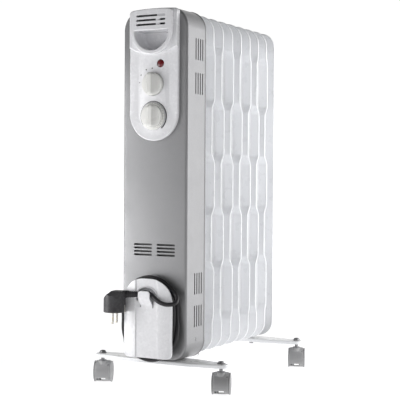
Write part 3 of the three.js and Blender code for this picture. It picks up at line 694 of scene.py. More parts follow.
def make_plug_contacts():
    """Two round pins and the earth clips in the sides; the insert the pins stand in."""
    tip = PLUG_FACE - PIN_LENGTH
    parts = []
    for side in (-1, 1):
        pin = [(0, tip), (1.3, tip + 0.1), (2.1, tip + 1), (2.4, tip + 2.5),
               (2.4, PLUG_FACE + 4), (0, PLUG_FACE + 4)]
        parts.append(turned(pin, 24, centre=(0, side * PIN_SPACING / 2, 0)))
        line = ((17.2, 12.6), (17.9, 12.6), (18.35, 8), (18.35, 4),
                (17.8, 0.2), (16.7, 0.2), (17.5, 4), (17.5, 8))
        parts.append(prism([(side * a, PLUG_FACE + b) for a, b in line], -2.2, 2.2, at_y))
    finish(solid("plug_contacts", *parts), PINS, replaces=("plug_pins",), place=PLUG_PLACE)
    disc = solid("plug_insert", turned([(0, PLUG_FACE + 0.6), (13.4, PLUG_FACE + 0.6), (14, PLUG_FACE + 1.2),
                                        (14, PLUG_FACE + 4), (0, PLUG_FACE + 4)], 48))
    finish(disc, PLUG, place=PLUG_PLACE)


make_gland()
make_plug()
make_plug_contacts()
make_cord()


# ---- Fins ----

BEAD, BEAD_HALF, FLANGE_HALF = 3.0, 1.5, 0.85
CHANNEL_FOOT, CHANNEL_EDGE = 17.0, 23.5
SLOT_X, SLOT_HALF, SLOT_THICK = 12, 3.6, 3.2
HUB_FLAT, HUB_FOOT, FRONT_HUB_REACH = 17, 23, 15
WAVE_RAMP, BEND_FROM, BEND_FULL = 10, 36.5, 43.5


def rim_distance(x, z):
    """How far a point of a fin is from its rounded outline."""
    qx = abs(x) - (FIN_HALF - FIN_CORNER)
    qz = abs(z - (FIN_LOW + FIN_HIGH) / 2) - ((FIN_HIGH - FIN_LOW) / 2 - FIN_CORNER)
    outside = math.hypot(max(qx, 0), max(qz, 0))
    return FIN_CORNER - outside - min(max(qx, qz), 0)


def fin_half(index, side, x, z):
    """Half a fin's thickness at a point, on its front (side -1) or its back (side 1)."""
    rim = rim_distance(x, z)
    if rim < BEAD:
        u = rim / BEAD
        bead = BEAD_HALF * math.sqrt(max(0, 1 - (2 * u - 1) ** 2)) if u < 0.5 else BEAD_HALF
        return bead if u < 0.5 else mix(BEAD_HALF, FLANGE_HALF, smoothstep(0.55, 1.0, u))
    half = mix(FLANGE_HALF, CHANNEL_HALF, smoothstep(CHANNEL_FOOT, CHANNEL_EDGE, rim))
    groove = 1 - smoothstep(SLOT_HALF * 0.35, SLOT_HALF, abs(abs(x) - SLOT_X))
    groove *= smoothstep(HUB_LOW + 30, HUB_LOW + 40, z) * (1 - smoothstep(HUB_HIGH - 40, HUB_HIGH - 30, z))
    half = mix(half, SLOT_THICK, groove)
    first, last = index == 0, index == FIN_COUNT - 1
    for hub in (HUB_LOW, HUB_HIGH):
        reach = PITCH / 2 - 0.15
        if last and side > 0:
            reach = CHANNEL_HALF + 2
        if first and side < 0:
            reach = FRONT_HUB_REACH if hub == HUB_LOW else CHANNEL_HALF
        near = 1 - smoothstep(HUB_FLAT, HUB_FOOT, math.hypot(x, z - hub))
        half = mix(half, max(half, reach), near)
    return half


def fin_bend(index, x, z):
    """The flanges of the inner fins swing forward and back in bands, against their neighbours."""
    if index in (0, FIN_COUNT - 1):
        return 0
    bend = 0.0
    for edge in range(WAVE_BANDS + 1):
        middle = WAVE_LOW + edge * WAVE_BAND
        before = 0 if edge == 0 else (1 if (index + edge - 1) % 2 == 1 else -1)
        after = 0 if edge == WAVE_BANDS else (1 if (index + edge) % 2 == 1 else -1)
        bend += (after - before) * smoothstep(middle - WAVE_RAMP, middle + WAVE_RAMP, z)
    return WAVE_DEPTH * bend * smoothstep(BEND_FROM, BEND_FULL, abs(x))


def fin_rows():
    low, high = FIN_LOW + FIN_CORNER, FIN_HIGH - FIN_CORNER
    rows = {low, high, low + 4, high - 4}
    for edge in range(WAVE_BANDS + 1):
        middle = WAVE_LOW + edge * WAVE_BAND
        rows.update(middle + step for step in (-12, -8, -5.5, -3, 0, 3, 5.5, 8, 12))
        rows.add(middle + WAVE_BAND / 3)
        rows.add(middle + WAVE_BAND * 2 / 3)
    for hub, way in ((HUB_LOW, 1), (HUB_HIGH, -1)):
        rows.update(hub + way * step for step in (-5, 0, 4, 8, 14.5, 17, 25, 30, 35, 40))
    rows = sorted(z for z in rows if low <= z <= high)
    kept = [rows[0]]
    for z in rows[1:-1]:
        if z - kept[-1] > 1.6:
            kept.append(z)
    if high - kept[-1] < 1.6:
        kept.pop()
    return kept + [high]


def fin_columns():
    half = FIN_HALF - FIN_CORNER
    right = [5, 8.4, 9.6, 10.8, 12, 13.2, 14.4, 15.6, 18, 20.5, 23, 27, half]
    return [-x for x in reversed(right)] + [0] + right


def fin_skin(index):
    """Both sheets of a fin: rings that follow the rim, then a grid over the middle."""
    rows, columns = fin_rows(), fin_columns()
    seam = FIRST_SEAM + index * PITCH
    insets = (0, 0.12, 0.45, 0.9, 1.5, 2.0, 2.6, 3.2, 7, 12,
              15.5, 17, 18.3, 19.6, 21, 22.3, 23.5, 25.5, FIN_CORNER)
    inner_x, low, high = columns[-1], rows[0], rows[-1]

    def ring(distance):
        reach = FIN_CORNER - distance
        points = [(inner_x + reach, z) for z in rows]
        points += arc(inner_x, high, reach, 0, 90, 10)[1:-1]
        points += [(x, high + reach) for x in reversed(columns)]
        points += arc(-inner_x, high, reach, 90, 180, 10)[1:-1]
        points += [(-inner_x - reach, z) for z in reversed(rows)]
        points += arc(-inner_x, low, reach, 180, 270, 10)[1:-1]
        points += [(x, low - reach) for x in columns]
        points += arc(inner_x, low, reach, 270, 360, 10)[1:-1]
        return points

    def lifted(point, side):
        x, z = point
        return (x, seam + side * fin_half(index, side, x, z) + fin_bend(index, x, z), z)

    sheets = []
    for side in (-1, 1):
        rings = [[lifted(p, side) for p in ring(d)] for d in insets]
        verts, faces = loft(rings, start=False, end=False)
        base = len(verts)
        verts += [lifted((x, z), side) for z in rows for x in columns]
        wide = len(columns)
        for r in range(len(rows) - 1):
            for c in range(wide - 1):
                at = base + r * wide + c
                faces.append((at, at + 1, at + wide + 1, at + wide))
        sheets.append((verts, faces))
    return merged(*sheets)


def make_fins():
    for index in range(FIN_COUNT):
        fin = solid(f"fin_sheet_{index + 1}", fin_skin(index))
        bm = bmesh.new()
        bm.from_mesh(fin.data)
        bmesh.ops.dissolve_degenerate(bm, edges=bm.edges, dist=WELD)
        bm.to_mesh(fin.data)
        bm.free()
        finish(fin, ENAMEL, replaces=(f"fin_{index + 1}",), angle=60)


make_fins()


# ---- Control box ----

FRONT_VENT_ROWS = [226.2 + 5.7 * i for i in range(4)]
SIDE_VENT_GROUPS = (125, 179, 510.5, 567)
SIDE_VENT_COLUMNS = [27.7 + 7.75 * i for i in range(4)]
VENT_HALF = 1.5
BOX_SCREW = (31.5, 87)


def slot_outline(low, high, half):
    """A slot with rounded ends, as pairs of (across, along)."""
    return arc(0, high - half, half, 0, 180, 6) + arc(0, low + half, half, 180, 360, 6)


def make_control_box():
    """The sheet metal shell: a rounded front edge, a rolled rear edge and rows of vent slots."""
    outline = rounded_rectangle(BOX_HALF, BOX_BOTTOM, BOX_TOP, BOX_CORNER, BOX_TOP_CORNER, 14)
    outline = without_repeats(outline)
    profile = [(BOX_ROUND + 3, SHEET), (BOX_ROUND, SHEET)]
    inner = BOX_ROUND - SHEET
    profile += [(BOX_ROUND - inner * math.sin(a), BOX_ROUND - inner * math.cos(a))
                for a in quarter(5)[1:]]
    rolled_edge = ((SHEET, 3.4), (0.7, 1.2), (0.1, 0.2), (-0.5, 0.1),
                   (-0.9, 0.7), (-0.95, 1.6), (-0.6, 2.4), (0, 3))
    profile += [(d, BOX_DEPTH - y) for d, y in rolled_edge]
    profile += [(BOX_ROUND * (1 - math.cos(a)), BOX_ROUND * (1 - math.sin(a))) for a in quarter(6)]
    profile.append((BOX_ROUND + 3, 0))
    shell = solid("control_box_sheet", loft([at_y(inset(outline, d), y) for d, y in profile]))
    cuts = []
    for z in FRONT_VENT_ROWS:
        for side in (-1, 1):
            slot = [(side * 22 + a, z + b) for b, a in slot_outline(-17.5, 17.5, VENT_HALF + 0.1)]
            cuts.append(prism(slot, -2, 3, at_y))
    for middle in SIDE_VENT_GROUPS:
        for y in SIDE_VENT_COLUMNS:
            slot = [(y + a, middle + b) for a, b in slot_outline(-18, 18, VENT_HALF)]
            for side in (-1, 1):
                cuts.append(prism(slot, side * (BOX_HALF - 4), side * (BOX_HALF + 4), at_x))
    for side in (-1, 1):
        cuts.append(rod(2.6, -3, 3, 24, "X", (side * BOX_HALF, *BOX_SCREW)))
    cuts.append(slab(rounded_rectangle(37, 440, 622, 8, count=4), -2, 3))
    carve(shell, merged(*cuts))
    finish(shell, SILVER, replaces=("control_box_shell",), angle=32)


def make_vent_shade_sheets():
    """Black sheets behind the vents: painted shade for the inside of the box, so that nothing inside shows
    through them.
    """
    sheets = [block(-44, 44, 6, 6.6, 222, 248)]
    for middle in SIDE_VENT_GROUPS:
        for side in (-1, 1):
            near, far = sorted((side * (BOX_HALF - 4.6), side * (BOX_HALF - 4)))
            sheets.append(block(near, far, 22, 56.5, middle - 21, middle + 21))
    finish(solid("vent_painted_shade", *sheets), INNER_AND_SHADE)


def make_box_screws():
    for side, name in ((-1, "left"), (1, "right")):
        head = [(0, -0.2), (1.6, -0.2), (2.3, -0.9), (2.3, -2), (1.2, -2.2), (1.2, -6), (0, -6)]
        place = (side * BOX_HALF, *BOX_SCREW)
        screw = solid(f"box_screw_{name}", turned([(r, side * h) for r, h in head], 28, "X", place))
        carve(screw, block(side * (BOX_HALF - 0.9), side * (BOX_HALF + 1), 31.2, 31.8, 84.5, 89.5))
        finish(screw, ZINC)


make_control_box()
make_vent_shade_sheets()
make_box_screws()


# ---- Fascia and handle ----

BULGE_HALF, BULGE_RISE = 30, 2.2


def bulge_at(x, z):
    """How far the fascia's middle stands out: a crowned strip with a rounded lower end."""
    away = abs(x) if z > FASCIA_CENTRE else math.hypot(x, z - FASCIA_CENTRE)
    return BULGE_RISE * max(0, 1 - (away / BULGE_HALF) ** 2)


def make_fascia():
    outline = shield(FASCIA_HALF, FASCIA_CENTRE, FASCIA_SIDE, FASCIA_CROWN, 6)
    fascia = solid("fascia", slab(outline, FASCIA_FRONT, -0.3, 2.2, 0, 6))
    bulge = []
    for k in range(9):
        half = mix(BULGE_HALF, 1.5, k / 8)
        strip = arc(0, FASCIA_CENTRE, half, 180, 360, 28)
        strip += [(half, 500), (half, 540), (half, 575), (0, 575), (-half, 575), (-half, 540), (-half, 500)]
        bulge.append([(x, FASCIA_FRONT - bulge_at(x, z), z) for x, z in strip])
    bulge.insert(0, [(point[0], -4, point[2]) for point in bulge[0]])
    carve(fascia, loft(bulge), how="UNION")
    arch = 82.7
    rise = FASCIA_HALF ** 2 / (2 * arch)
    foot = 556.5
    edge = 0.6
    lower = []
    for i in range(25):
        x = mix(-(FASCIA_HALF - edge), FASCIA_HALF - edge, i / 24)
        lower.append((x, foot + rise * (x / FASCIA_HALF) ** 2))
    top = shield(FASCIA_HALF - edge, DOME_CENTRE, FASCIA_SIDE - edge, FASCIA_CROWN - edge, 6)
    split = next(i for i, p in enumerate(top) if i > 28 and p[0] > 30)
    shoulder = lower + top[split:]
    carve(fascia, slab(shoulder, -8.6, -3, 2.6, 0, 5), how="UNION")
    front, back, well_floor = -12, 3, -4.7
    lamp_hole, power_well, heat_well, spindle_hole = 6.7, 19.9, 23.3, 4.5
    carve(fascia,
          slab(half_round(POCKET_RADIUS + 2.6, POCKET_TOP, POCKET_TOP + 2.6, 3), front, back),
          slab(rounded_rectangle(32, 602.4, 624, 3, count=4), front, back),
          rod(lamp_hole, front, back, 40, "Y", (LAMP_X, 0, LAMP_Z)),
          rod(power_well, front, well_floor, 72, "Y", (0, 0, POWER_Z)),
          rod(heat_well, front, well_floor, 72, "Y", (0, 0, HEAT_Z)),
          *[rod(spindle_hole, front, back, 24, "Y", (0, 0, z)) for z in (POWER_Z, HEAT_Z)])
    soften(fascia, 0.5, 2, 40)
    finish(fascia, WHITE, replaces=("control_fascia",), angle=30)


def make_handle():
    """The domed cap: three vent slots over a scooped pocket for the fingers."""
    outer = shield(DOME_HALF, DOME_CENTRE, DOME_SIDE, DOME_CROWN, 5)
    cap = solid("handle_shell", slab(outer, DOME_FRONT, -5.3, 1.8, 0, 5))
    inside = shield(DOME_HALF - DOME_WALL, DOME_CENTRE, DOME_SIDE - DOME_WALL, DOME_CROWN - DOME_WALL, 4)
    carve(cap, slab(inside, DOME_FRONT + DOME_WALL, -4))
    bowl = without_repeats(half_round(POCKET_RADIUS, POCKET_TOP, POCKET_TOP, 2))
    wall = without_repeats(half_round(POCKET_RADIUS + 1.9, POCKET_TOP, POCKET_TOP + 1.9, 3))
    cup = [at_y(wall, DOME_FRONT + 1)]
    flare = ((-1.6, -0.4), (-0.9, 0.25), (-0.35, 0.9))
    hollow = [at_y(inset(bowl, d), DOME_FRONT + y) for d, y in flare]
    hollow.append(at_y(bowl, DOME_FRONT + 2.2))
    for a in quarter(6):
        cup.append(at_y(shrunk(wall, 0.82 + 0.14 * math.cos(a), POCKET_Z), mix(6, 15.8, math.sin(a))))
        hollow.append(at_y(shrunk(bowl, 0.80 + 0.15 * math.cos(a), POCKET_Z), mix(5, 13.6, math.sin(a))))
    carve(cap, loft(cup), how="UNION")
    carve(cap, loft(hollow))
    slots = []
    for z in (606, 613.2, 620.4):
        shape = [(a, z + b) for b, a in slot_outline(-29, 26.5, 1.65)]
        slots.append(slab(shape, DOME_FRONT - 1, DOME_FRONT + 4))
    carve(cap, merged(*slots))
    soften(cap, 0.35, 2, 40)
    boss = [(0, 14.2), (4.6, 14.2), (4.6, 13.1), (4.2, 12.7), (3.4, 12.7), (3.1, 13.4), (0, 13.4)]
    join_into(cap, solid("boss", turned(boss, 32, "Y", (11, 0, 577))))
    finish(cap, WHITE, replaces=("handle_cap",), angle=34)
    rib = solid("handle_rib", block(7.2, 14.5, DOME_FRONT + 2.6, DOME_FRONT + 6, 602, 616.5),
                block(9, 31, DOME_FRONT + 3.4, DOME_FRONT + 6, 617, 624))
    soften(rib, 0.4)
    finish(rib, WHITE)
    # A black sheet behind the handle's vent slots: painted shade for the hollow behind them.
    dark = solid("handle_painted_shade", block(-33, 33, -2.5, -1.5, 599.5, 626))
    finish(dark, INNER_AND_SHADE)


def make_lamp():
    lens = [(0, -2), (6.3, -2), (6.3, 3.6), (6.0, 4.8), (5.0, 5.5), (3.0, 5.9), (0, 6.0)]
    body = solid("lamp_lens", turned([(r, -h - 1.3) for r, h in lens], 40, "Y", (LAMP_X, 0, LAMP_Z)))
    finish(body, LENS, replaces=("pilot_lamp_lens",))


def knob_skin(radius, z, back, skirt, ridge, half):
    """A round knob whose face is scooped out on both sides of an upright ridge."""
    sides = 96
    across = {half + step for step in (-0.9, -0.3, 0, 0.05, 0.35, 0.9, 1.8, 3, 4.5, 6.5, 9, 11.5)}
    across |= {0, half / 2}
    inner = radius - 1.3

    def front(x, up):
        away = max(0, abs(x) - half)
        fall = (1 - min(1, away / (radius - half))) ** 2.6
        crest = fall * (1 - 0.12 * smoothstep(half - 0.9, half + 0.2, abs(x)))
        reach = 1 - smoothstep(radius - 2.6, radius - 0.6, math.hypot(x, up))
        return mix(skirt, ridge, crest * (0.35 + 0.65 * reach))

    angles = [2 * math.pi * i / sides for i in range(sides)]
    rim = [(radius * math.cos(a), z + radius * math.sin(a)) for a in angles]
    rings = [at_y(shrunk(rim, 0.02, z), back), at_y(rim, back)]
    for u in (0.0, 0.25, 0.5, 0.75, 1.0):
        shell = radius - 1.3 * u ** 2.2
        ring = []
        for a in angles:
            x, up = shell * math.cos(a), shell * math.sin(a)
            top = front(inner * math.cos(a), inner * math.sin(a))
            ring.append((x, mix(top + 1.6, top, math.sin(u * math.pi / 2)), z + up))
        rings.append(ring)
    body = loft(rings, end=False)
    cap = bmesh.new()
    cap.faces.new([cap.verts.new(point) for point in rings[-1]])
    cuts = [((x, 0, 0), (1, 0, 0))
            for x in sorted({sign * value for sign in (-1, 1) for value in across if value < inner})]
    cuts += [((0, 0, z + inner * math.sin(k / 6 * math.pi / 2) * 0.985), (0, 0, 1)) for k in range(-6, 7)]
    for place, normal in cuts:
        geometry = list(cap.verts) + list(cap.edges) + list(cap.faces)
        bmesh.ops.bisect_plane(cap, geom=geometry, plane_co=place, plane_no=normal)
    for vert in cap.verts:
        if math.hypot(vert.co.x, vert.co.z - z) < inner - 0.02:
            vert.co.y = front(vert.co.x, vert.co.z - z)
    cap.verts.index_update()
    face = [tuple(v.co) for v in cap.verts], [tuple(v.index for v in f.verts) for f in cap.faces]
    cap.free()
    return merged(body, face)


def make_knobs():
    radius, skirt, ridge_half = 19, -12.4, 4.6
    power = solid("power_dial_cap", knob_skin(radius, POWER_Z, KNOB_BACK, skirt, -21, ridge_half))
    finish(power, CREAM, "power_dial", ("power_knob",), 42)
    heat = solid("thermostat_dial_cap", knob_skin(radius, HEAT_Z, -7.4, skirt, -18.6, ridge_half))
    disc = [(0, KNOB_BACK), (22.2, KNOB_BACK), (22.5, -5.9), (22.5, -7.7), (22.1, -8.3), (20.2, -8.5),
            (0, -8.5)]
    join_into(heat, solid("dial_disc", turned(disc, 96, "Y", (0, 0, HEAT_Z))))
    finish(heat, CREAM, "thermostat_dial", ("thermostat_knob",), 42)
    ticks = []
    for i in range(11):
        a = math.radians(90 - 13 * i)
        turn = Matrix.Translation((0, 0, HEAT_Z)) @ Matrix.Rotation(-a, 4, "Y")
        verts, faces = block(20.3, 21.8, -8.62, -8.3, -0.22, 0.22)
        ticks.append(([tuple(turn @ Vector(v)) for v in verts], faces))
    marks = solid("thermostat_dial_marks", *ticks)
    finish(marks, PRINT, "thermostat_dial")
    outline = rounded_rectangle(0.7, POWER_Z + 10.8, POWER_Z + 14.6, 0.6, count=3)
    pointer = solid("power_dial_mark", slab(outline, -20.75, -19.6))
    finish(pointer, PRINT, "power_dial")


def make_prints():
    """Four switch positions round the upper knob, and the band that widens with the heat setting."""
    dots = []
    for i, (x, z) in enumerate(((-26.6, 511.9), (-23.8, 524.2), (-13.0, 532.6), (-1.4, 534.4))):
        y = FASCIA_FRONT - bulge_at(x, z)
        radius, flat = 0.95 + 0.12 * i, 0.8 + 0.12 * i
        dot = [(0, y + 0.6), (radius, y + 0.6), (radius, y - 0.12), (flat, y - 0.2), (0, y - 0.2)]
        dots.append(turned(dot, 20, "Y", (x, 0, z)))
    marks = solid("switch_position_marks", *dots)
    finish(marks, PRINT)
    rings = []
    steps = 90
    start, end = 215, -52
    inner = 23.9
    for i in range(steps + 1):
        a = math.radians(mix(start, end, i / steps))
        wide = mix(0.35, 2.1, smoothstep(0, 0.9, i / steps))
        ring = []
        for r, lift in ((inner, 0.5), (inner + wide, 0.5), (inner + wide, -0.16), (inner, -0.16)):
            x, z = r * math.cos(a), HEAT_Z + r * math.sin(a)
            ring.append((x, FASCIA_FRONT - bulge_at(x, z) + lift, z))
        rings.append(ring)
    band = solid("heat_setting_band", loft(rings))
    finish(band, PRINT)


make_fascia()
make_handle()
make_lamp()
make_knobs()
make_prints()


# ---- Cord winder ----

PLATE_HALF, PLATE_LOW, PLATE_TOP = 45.6, 58.2, 188.5
PLATE_FACET, PLATE_FRONT, PLATE_STEP, PLATE_EDGE, PLATE_SHEET = 20.6, -23.2, 1.3, -18.2, 2.4
CLIP_HALF, CLIP_FOOT, CLIP_TOP, ARCH, ARCH_Z, CLIP_LEAN = 11, 141, 169, 20, 154.5, 10


def plate_front(x):
    """The plate's front face: a middle sunk a step below two side facets that fall off to the edges."""
    away = abs(x)
    fall = mix(PLATE_FRONT - PLATE_STEP, PLATE_EDGE, smoothstep(PLATE_FACET, PLATE_HALF + 12, away))
    return mix(PLATE_FRONT, fall, smoothstep(PLATE_FACET - 0.9, PLATE_FACET + 0.5, away))


def make_winder_plate():
    xs = sorted({side * x for side in (-1, 1) for x in
                 (0, 8, 15, 19, 19.7, 20.0, 20.4, 20.8, 21.1, 22, 27, 32, 37, 42, PLATE_HALF + 3)})
    section = [(x, plate_front(x)) for x in xs] + [(x, plate_front(x) + PLATE_SHEET) for x in reversed(xs)]
    plate = solid("winder_plate", prism(section, PLATE_LOW - 4, PLATE_TOP + 4, at_z))
    outline = rounded_rectangle(PLATE_HALF, PLATE_LOW, PLATE_TOP, 8, 38, 14)
    carve(plate, slab(outline, -60, 10), how="INTERSECT")
    window = arc(0, ARCH_Z, ARCH, -8, 188, 28)
    slits = [block(side * (CLIP_HALF + 1) - 1, side * (CLIP_HALF + 1) + 1, -40, 0, CLIP_FOOT, ARCH_Z)
             for side in (-1, 1)]
    carve(plate, prism(window, -40, 0, at_y), merged(*slits),
          block(-CLIP_HALF - 0.2, CLIP_HALF + 0.2, -40, 0, CLIP_FOOT, ARCH_Z + 1))
    back = PLATE_FRONT + PLATE_SHEET
    tip = PLATE_FRONT - CLIP_LEAN
    side_line = [(PLATE_FRONT, CLIP_FOOT - 3), (PLATE_FRONT - 0.4, CLIP_FOOT + 1)]
    thick_line = [(back, CLIP_FOOT - 3), (back, CLIP_FOOT)]
    for i in range(1, 9):
        u = i / 8
        z = mix(CLIP_FOOT + 1, CLIP_FOOT + 16.5, u)
        y = mix(PLATE_FRONT - 0.4, tip, smoothstep(0, 1.05, u))
        side_line.append((y, z))
        thick_line.append((y + mix(PLATE_SHEET, 1.8, u), z + 0.6))
    side_line += [(tip - 0.15, CLIP_TOP - 4), (tip + 0.1, CLIP_TOP - 0.8), (tip + 0.7, CLIP_TOP)]
    thick_line += [(tip + 1.8, CLIP_TOP - 4), (tip + 1.8, CLIP_TOP - 0.8), (tip + 1.2, CLIP_TOP)]
    rings = []
    for (yf, zf), (yb, zb) in zip(side_line, thick_line):
        top = max(0, (zf - (CLIP_TOP - 5)) / 5)
        half = CLIP_HALF - 4.2 * (1 - math.sqrt(max(0, 1 - top ** 2)))
        rings.append([(-half, yf, zf), (half, yf, zf), (half, yb, zb), (-half, yb, zb)])
    carve(plate, loft(rings), how="UNION")
    soften(plate, 0.6, 3, 30)
    lip = smooth_path([(x, plate_front(x) - 0.1, z) for x, z in arc(0, ARCH_Z, ARCH + 1.2, 8, 172, 26)], 2)
    join_into(plate, solid("lip", tube(lip, 1.5, 12)))
    finish(plate, WHITE, replaces=("cord_winder_plate",), angle=30)


def make_winder_neck():
    half = BACK_TURNS[0] - CORD / 2 - 0.3
    neck = solid("winder_neck", slab(racetrack(half, COIL_LOW, COIL_HIGH), -15.5, -0.3, 0.8, 0, 3))
    boss = slab(rounded_rectangle(17, 74, 136, 4, count=5), PLATE_FRONT + PLATE_SHEET + 0.3, -14)
    carve(neck, boss, how="UNION")
    carve(neck, block(-half - 1, GLAND_X + 6.3, -17, -3.5, 96, 170))
    soften(neck, 0.5)
    finish(neck, WHITE, replaces=("cord_winder_neck",))


make_winder_plate()
make_winder_neck()


# ---- Feet ----

BOLT_HALF = 25


def foot_plan(front, back, row, inward):
    half, end = 62 - inward / 2, 12 - inward
    return ([(-half, front + inward), (half, front + inward)] + arc(STEM_X, row, end, -75.6, 75.6, 14)
            + [(half, back - inward), (-half, back - inward)] + arc(-STEM_X, row, end, 104.4, 255.6, 14))


def make_foot(name, front, back, row, bolt_y, tongue_back):
    """A pressed bar: an open channel whose top edge is rounded."""
    section = ((2, FOOT_LOW), (1, FOOT_LOW), (0, FOOT_LOW + 0.5), (0, FOOT_TOP - 2.6),
               (0.3, FOOT_TOP - 1.4), (0.9, FOOT_TOP - 0.6), (2.0, FOOT_TOP - 0.08), (3.6, FOOT_TOP))
    rings = [at_z(foot_plan(front, back, row, inward), z) for inward, z in section]
    bar = solid(f"{name}_bar", loft(rings))
    if tongue_back > back:
        carve(bar, block(-34, 34, back - 5, tongue_back, FOOT_LOW, FOOT_TOP), how="UNION")
    carve(bar, prism(foot_plan(front, back, row, 2.2), FOOT_LOW - 2, FOOT_TOP - 2, at_z))
    if tongue_back > back:
        carve(bar, block(-32, 32, back - 8, tongue_back - 2, FOOT_LOW - 1.5, FOOT_TOP - 2.2))
    holes = []
    for side in (-1, 1):
        for x, y, radius in ((side * STEM_X, row, 3.6), (side * BOLT_HALF, bolt_y, 3.2)):
            holes.append(rod(radius, FOOT_LOW - 3, FOOT_TOP + 3, 28, centre=(x, y, 0)))
    carve(bar, merged(*holes))
    soften(bar, 0.5, 2, 40)
    finish(bar, ENAMEL, replaces=(name,), angle=32)


def make_clamp(end, y):
    """A threaded U-bolt over the lower hub, with a wing nut on each leg."""
    half, foot = BOLT_HALF, 40
    bend = [(half * math.cos(a), y, HUB_LOW + half * math.sin(a)) for a in
            (math.pi * (1 - i / 16) for i in range(17))]
    path = smooth_path([(-half, y, foot), (-half, y, 52), (-half, y, 70)] + bend
                       + [(half, y, 70), (half, y, 52), (half, y, foot)], 0.4)
    total = sum((b - a).length for a, b in zip(path, path[1:]))

    def wire(along):
        from_end = min(along, total - along)
        if from_end > 18:
            return 2.5
        return 2.3 + 0.18 * math.cos(2 * math.pi * from_end / 1.2) - (0.5 if from_end < 0.5 else 0)

    bolt = solid(f"u_bolt_{end}_wire", tube(path, wire, 14))
    finish(bolt, ZINC, replaces=(f"u_bolt_{end}",))
    top = FOOT_TOP - 2 - 0.3
    barrel = ((0, top - 6), (4.2, top - 6), (4.6, top - 5.6), (5.6, top - 0.5), (5.2, top), (0, top))
    wing = ((3, 1.4), (8, 1.6), (10.6, -0.2), (11, -3.2), (9.6, -5.2), (7, -5), (4.4, -2.6), (3, -2))
    for side, name in ((-1, "left"), (1, "right")):
        x = side * half
        nut = solid(f"wing_nut_{end}_{name}_body", turned(barrel, 28, centre=(x, y, 0)))
        for way in (-1, 1):
            blade = [(y + way * a, top - 3.5 + b) for a, b in wing]
            carve(nut, prism(blade, x - 1.1, x + 1.1, at_x), how="UNION")
        carve(nut, rod(2.5, top - 12, top + 2, 20, centre=(x, y, 0)))
        soften(nut, 0.4, 2, 35)
        finish(nut, ZINC, replaces=(f"wing_nut_{end}_{name}",))


front_bolt = FIRST_SEAM + 0.5 * PITCH
rear_bolt = FIRST_SEAM + (FIN_COUNT - 1.5) * PITCH
make_foot("foot_front", 0.6, 45, FRONT_ROW, front_bolt, front_bolt + 14)
make_foot("foot_rear", rear_bolt - 20, rear_bolt + 22, REAR_ROW, rear_bolt, 0)
make_clamp("front", front_bolt)
make_clamp("rear", rear_bolt)


# ---- Casters ----

HOOD_RADIUS, HOOD_CAVITY = 19.6, 17.2
CASTER_AXIS = (0, TRAIL, WHEEL)


def caster_hood(name):
    """A fender round both wheels on a middle web: barrel shaped, with a window low in its front."""
    flank = [(0, HOOD_HALF), (17.7, HOOD_HALF), (18.4, HOOD_HALF - 0.5), (18.9, HOOD_HALF - 1.8), (19.3, 8),
             (HOOD_RADIUS, 3)]
    profile = [(r, -h) for r, h in flank] + flank[::-1]
    hood = solid(f"{name}_fender", turned(profile, 72, "X", CASTER_AXIS))
    collar = [(0, 30), (6.6, 30), (6.5, WHEEL + 18.8), (6.0, WHEEL + 19.3), (0, WHEEL + 19.3)]
    carve(hood, turned(collar, 40), how="UNION")
    carve(hood,
          merged(*[rod(HOOD_CAVITY, a, b, 72, "X", CASTER_AXIS)
                   for a, b in ((-30, -WEB_HALF), (WEB_HALF, 30))]),
          block(-30, 30, TRAIL + 2, 60, -5, WHEEL + 7), block(-30, 30, -40, 60, -10, 3),
          block(-WEB_HALF - 1, WEB_HALF + 1, 1.5, 60, -1, 9.4), block(-5.4, 6.2, -40, TRAIL, 4.7, 8.6),
          rod(1.9, -40, -4, 20, "Y", (-8.2, 0, 6.6)),
          rod(1.7, -40, -4, 20, "Y", (10.2, 0, 31.4)),
          rod(3.3, 23.5, 60, 28),
          rod(2.2, -30, 30, 24, "X", CASTER_AXIS))
    soften(hood, 0.45, 2, 35)
    return hood


def caster_wheel(name, side):
    """One wheel: a dished outer face with a hub cap, a broad tread and a bore."""
    inner, rim = WEB_HALF + 0.4, HOOD_HALF + 0.3
    face = rim + 2.0
    profile = [(2.3, inner), (6, inner), (6.6, inner + 1.2), (14.8, inner + 1.2), (15.6, inner),
               (16.6, inner + 0.3), (17, inner + 1), (17, rim - 0.5), (17.3, rim), (WHEEL - 0.3, rim + 0.1),
               (WHEEL, rim + 0.6), (WHEEL, rim + 2.0), (WHEEL - 0.5, face - 0.1), (16.6, face + 0.1),
               (15.6, face - 0.5), (14.6, face - 0.7), (8, face + 0.2), (7.2, face + 0.1), (6.8, face - 0.4),
               (6.2, face + 0.1), (4, face + 0.7), (0, face + 0.9), (0, rim - 0.5), (2.3, rim - 0.5),
               (2.3, inner)]
    return solid(f"{name}_disc_{'left' if side < 0 else 'right'}",
                 turned([(r, side * h) for r, h in profile], 72, "X", CASTER_AXIS))


def caster_stem(name):
    hood_top = WHEEL + HOOD_RADIUS
    nut = FOOT_TOP + 0.3
    collar = ((3, 0.3), (6.2, 0.3), (6.6, 0.7), (6.6, 1.7), (6.1, 2.2), (3.0, 2.3))
    cap = ((2.9, 0), (6.6, 0), (6.6, 0.8), (5.4, 1.1), (5.2, 2.6), (4.4, 3.6), (2.5, 4.3), (0, 4.5))
    stem = [(0, 24), (2.6, 24), (3, 24.5)]
    stem += [(r, hood_top + h) for r, h in collar] + [(2.9, 45)] + [(r, nut + h) for r, h in cap]
    return solid(f"{name}_pin", turned(stem, 36))


